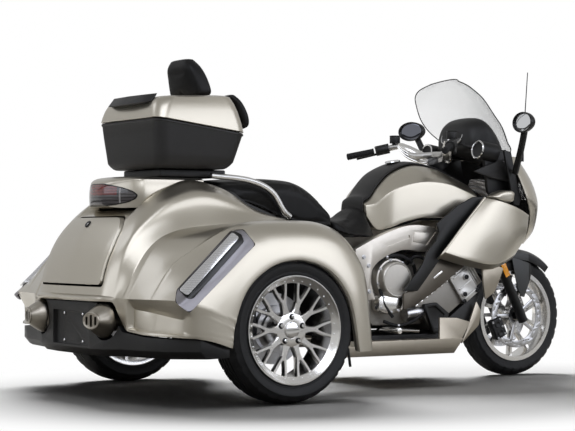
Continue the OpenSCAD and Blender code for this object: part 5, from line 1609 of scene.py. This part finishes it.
class TRIKE_OT_finishes(bpy.types.Operator):
    """Paint, metal, plastic, leather, rubber and lens finishes"""
    bl_idname = "trike.finishes"
    bl_label = "Finishes"

    def execute(self, context):
        for make in (make_paint, make_metals, make_plastics, make_tyre, make_lenses):
            make(context.scene.trike)
        return {"FINISHED"}


def softbox(name, spot, aim, size, power):
    lamp = bpy.data.lights.new(name, "AREA")
    lamp.shape = "RECTANGLE"
    lamp.size, lamp.size_y = size
    lamp.energy = power
    obj = bpy.data.objects.new(name, lamp)
    turn = (Vector(aim) - Vector(spot)).to_track_quat("-Z", "Y")
    obj.matrix_world = Matrix.Translation(spot) @ turn.to_matrix().to_4x4()
    bpy.context.scene.collection.objects.link(obj)
    return obj


# Camera: place in millimetres, turn to the left of straight ahead, tilt, focal length and sensor width
CAMERA_SPOT = (-4017, -6981, 688)
CAMERA_YAW = math.radians(57.232)
CAMERA_PITCH = math.radians(0.721)
CAMERA_FOCAL = 111.96
CAMERA_SENSOR = 36
# Lamps: name, place, aim, size, power, and whether reflections or matt surfaces show it
LAMPS = (("side_lamp", (2.4, -6.0, 2.8), (0, 0, 0.9), (8.0, 3.6), 150, True),
         ("corner_lamp", (-3.6, -4.2, 5.0), (-1.0, -0.3, 0.7), (5.0, 3.8), 130, True),
         ("rear_lamp", (-6.5, 1.0, 2.4), (-0.6, 0, 0.7), (4.0, 2.0), 28, True),
         ("fold_lamp", (-4.1, 3.1, 4.3), (-1.1, -0.5, 0.6), (2.2, 1.6), 13, True),
         ("top_lamp", (-0.8, -1.0, 5.6), (-0.8, -1.0, 0), (6.0, 4.0), 40, False),
         ("shadow_lamp", (1.5, 4.2, 5.6), (0.2, -0.3, 0), (4.2, 2.8), 500, False))


class TRIKE_OT_stage(bpy.types.Operator):
    """Pale floor, white surroundings, soft lamps and the camera"""
    bl_idname = "trike.stage"
    bl_label = "Stage"

    def execute(self, context):
        looks = context.scene.trike
        bpy.ops.object.select_all(action="DESELECT")
        bpy.ops.mesh.primitive_plane_add(size=80)
        floor = context.object
        floor.name = "floor"
        pale = Finish("floor", roughness=1.0, specular_ior_level=0.0, emission_strength=1.0)
        seen = pale.node("ShaderNodeLightPath", output="Is Camera Ray")
        mirrored_floor = pale.node("ShaderNodeLightPath", output="Is Glossy Ray")
        x, y = pale.axes()[:2]
        reach = ((x * 0.8) * (x * 0.8) + (y + 0.25) * (y + 0.25)).apply("SQRT")
        far = pale.node("ShaderNodeMapRange", {"interpolation_type": "SMOOTHSTEP"}, reach, 1.15, 1.85, 0.0, 1.0)
        # In reflections the floor is painted darker, from 0.40 near the trike to 0.80 farther out: a painted shade that
        # stands for the shadow under the trike.
        tone = pale.mix(mirrored_floor, looks.floor, pale.mix(far, (0.40, 0.38, 0.35), (0.80, 0.79, 0.77)))
        pale.set(base_color=pale.mix(seen * far, tone, (0, 0, 0)),
                 emission_color=pale.mix(seen * far, (0, 0, 0), (1, 1, 1)))
        floor.data.materials.append(pale.material)
        world = bpy.data.worlds.new("studio")
        world.use_nodes = True
        tree = world.node_tree
        back = tree.nodes["Background"]
        back.inputs["Color"].default_value = (1, 1, 1, 1)
        path = tree.nodes.new("ShaderNodeLightPath")
        sky = tree.nodes.new("ShaderNodeTexCoord")
        split = tree.nodes.new("ShaderNodeSeparateXYZ")
        tree.links.new(sky.outputs["Generated"], split.inputs[0])
        rise = tree.nodes.new("ShaderNodeMapRange")
        tree.links.new(split.outputs["Z"], rise.inputs["Value"])
        for socket, value in zip(rise.inputs[1:5], (0.35, 0.85, 0.56, 0.44)):
            socket.default_value = value
        pick_light = tree.nodes.new("ShaderNodeMix")
        tree.links.new(path.outputs["Is Glossy Ray"], pick_light.inputs[0])
        pick_light.inputs[2].default_value = 0.06
        tree.links.new(rise.outputs[0], pick_light.inputs[3])
        show = tree.nodes.new("ShaderNodeMath")
        show.operation = "MAXIMUM"
        tree.links.new(path.outputs["Is Camera Ray"], show.inputs[0])
        tree.links.new(pick_light.outputs[0], show.inputs[1])
        tree.links.new(show.outputs[0], back.inputs["Strength"])
        context.scene.world = world
        for name, spot, aim, size, power, glossy in LAMPS:
            lamp = softbox(name, spot, aim, size, power)
            lamp.visible_glossy, lamp.visible_diffuse = glossy, not glossy
            lamp.data.color = (0.93, 0.98, 1.11) if glossy else (1, 1, 1)
        lens = bpy.data.cameras.new("camera")
        lens.sensor_width = CAMERA_SENSOR
        lens.lens = CAMERA_FOCAL
        camera = bpy.data.objects.new("camera", lens)
        level = math.cos(CAMERA_PITCH)
        look = Vector((level * math.cos(CAMERA_YAW), level * math.sin(CAMERA_YAW), math.sin(CAMERA_PITCH)))
        turn = look.to_track_quat("-Z", "Y").to_matrix().to_4x4()
        camera.matrix_world = Matrix.Translation(at(CAMERA_SPOT)) @ turn
        context.scene.collection.objects.link(camera)
        context.scene.camera = camera
        context.scene.view_settings.view_transform = "Standard"
        return {"FINISHED"}


STEPS = (TRIKE_OT_finishes, TRIKE_OT_rear_body, TRIKE_OT_rear_lamps, TRIKE_OT_rear_underside, TRIKE_OT_tail,
         TRIKE_OT_top_case, TRIKE_OT_seats, TRIKE_OT_rails, TRIKE_OT_tank, TRIKE_OT_frame, TRIKE_OT_engine,
         TRIKE_OT_fairing, TRIKE_OT_screen, TRIKE_OT_cockpit, TRIKE_OT_mirrors, TRIKE_OT_handlebar,
         TRIKE_OT_rear_wheels, TRIKE_OT_front_wheel, TRIKE_OT_fork, TRIKE_OT_stage)


class TRIKE_PT_panel(bpy.types.Panel):
    """Lists the trike's colours and the steps that build it"""
    bl_idname = "TRIKE_PT_panel"
    bl_label = "Motorized Trike"
    bl_space_type = "VIEW_3D"
    bl_region_type = "UI"
    bl_category = "Trike"

    def draw(self, context):
        for key in TrikeLooks.__annotations__:
            self.layout.prop(context.scene.trike, key)
        for step in STEPS:
            self.layout.operator(step.bl_idname)


CLASSES = (TrikeLooks, *STEPS, TRIKE_PT_panel)


def register():
    for cls in CLASSES:
        bpy.utils.register_class(cls)
    bpy.types.Scene.trike = bpy.props.PointerProperty(type=TrikeLooks)


def unregister():
    del bpy.types.Scene.trike
    for cls in reversed(CLASSES):
        bpy.utils.unregister_class(cls)


def main():
    register()
    for step in STEPS:
        group, name = step.bl_idname.split(".")
        getattr(getattr(bpy.ops, group), name)()


if __name__ == "__main__":
    main()
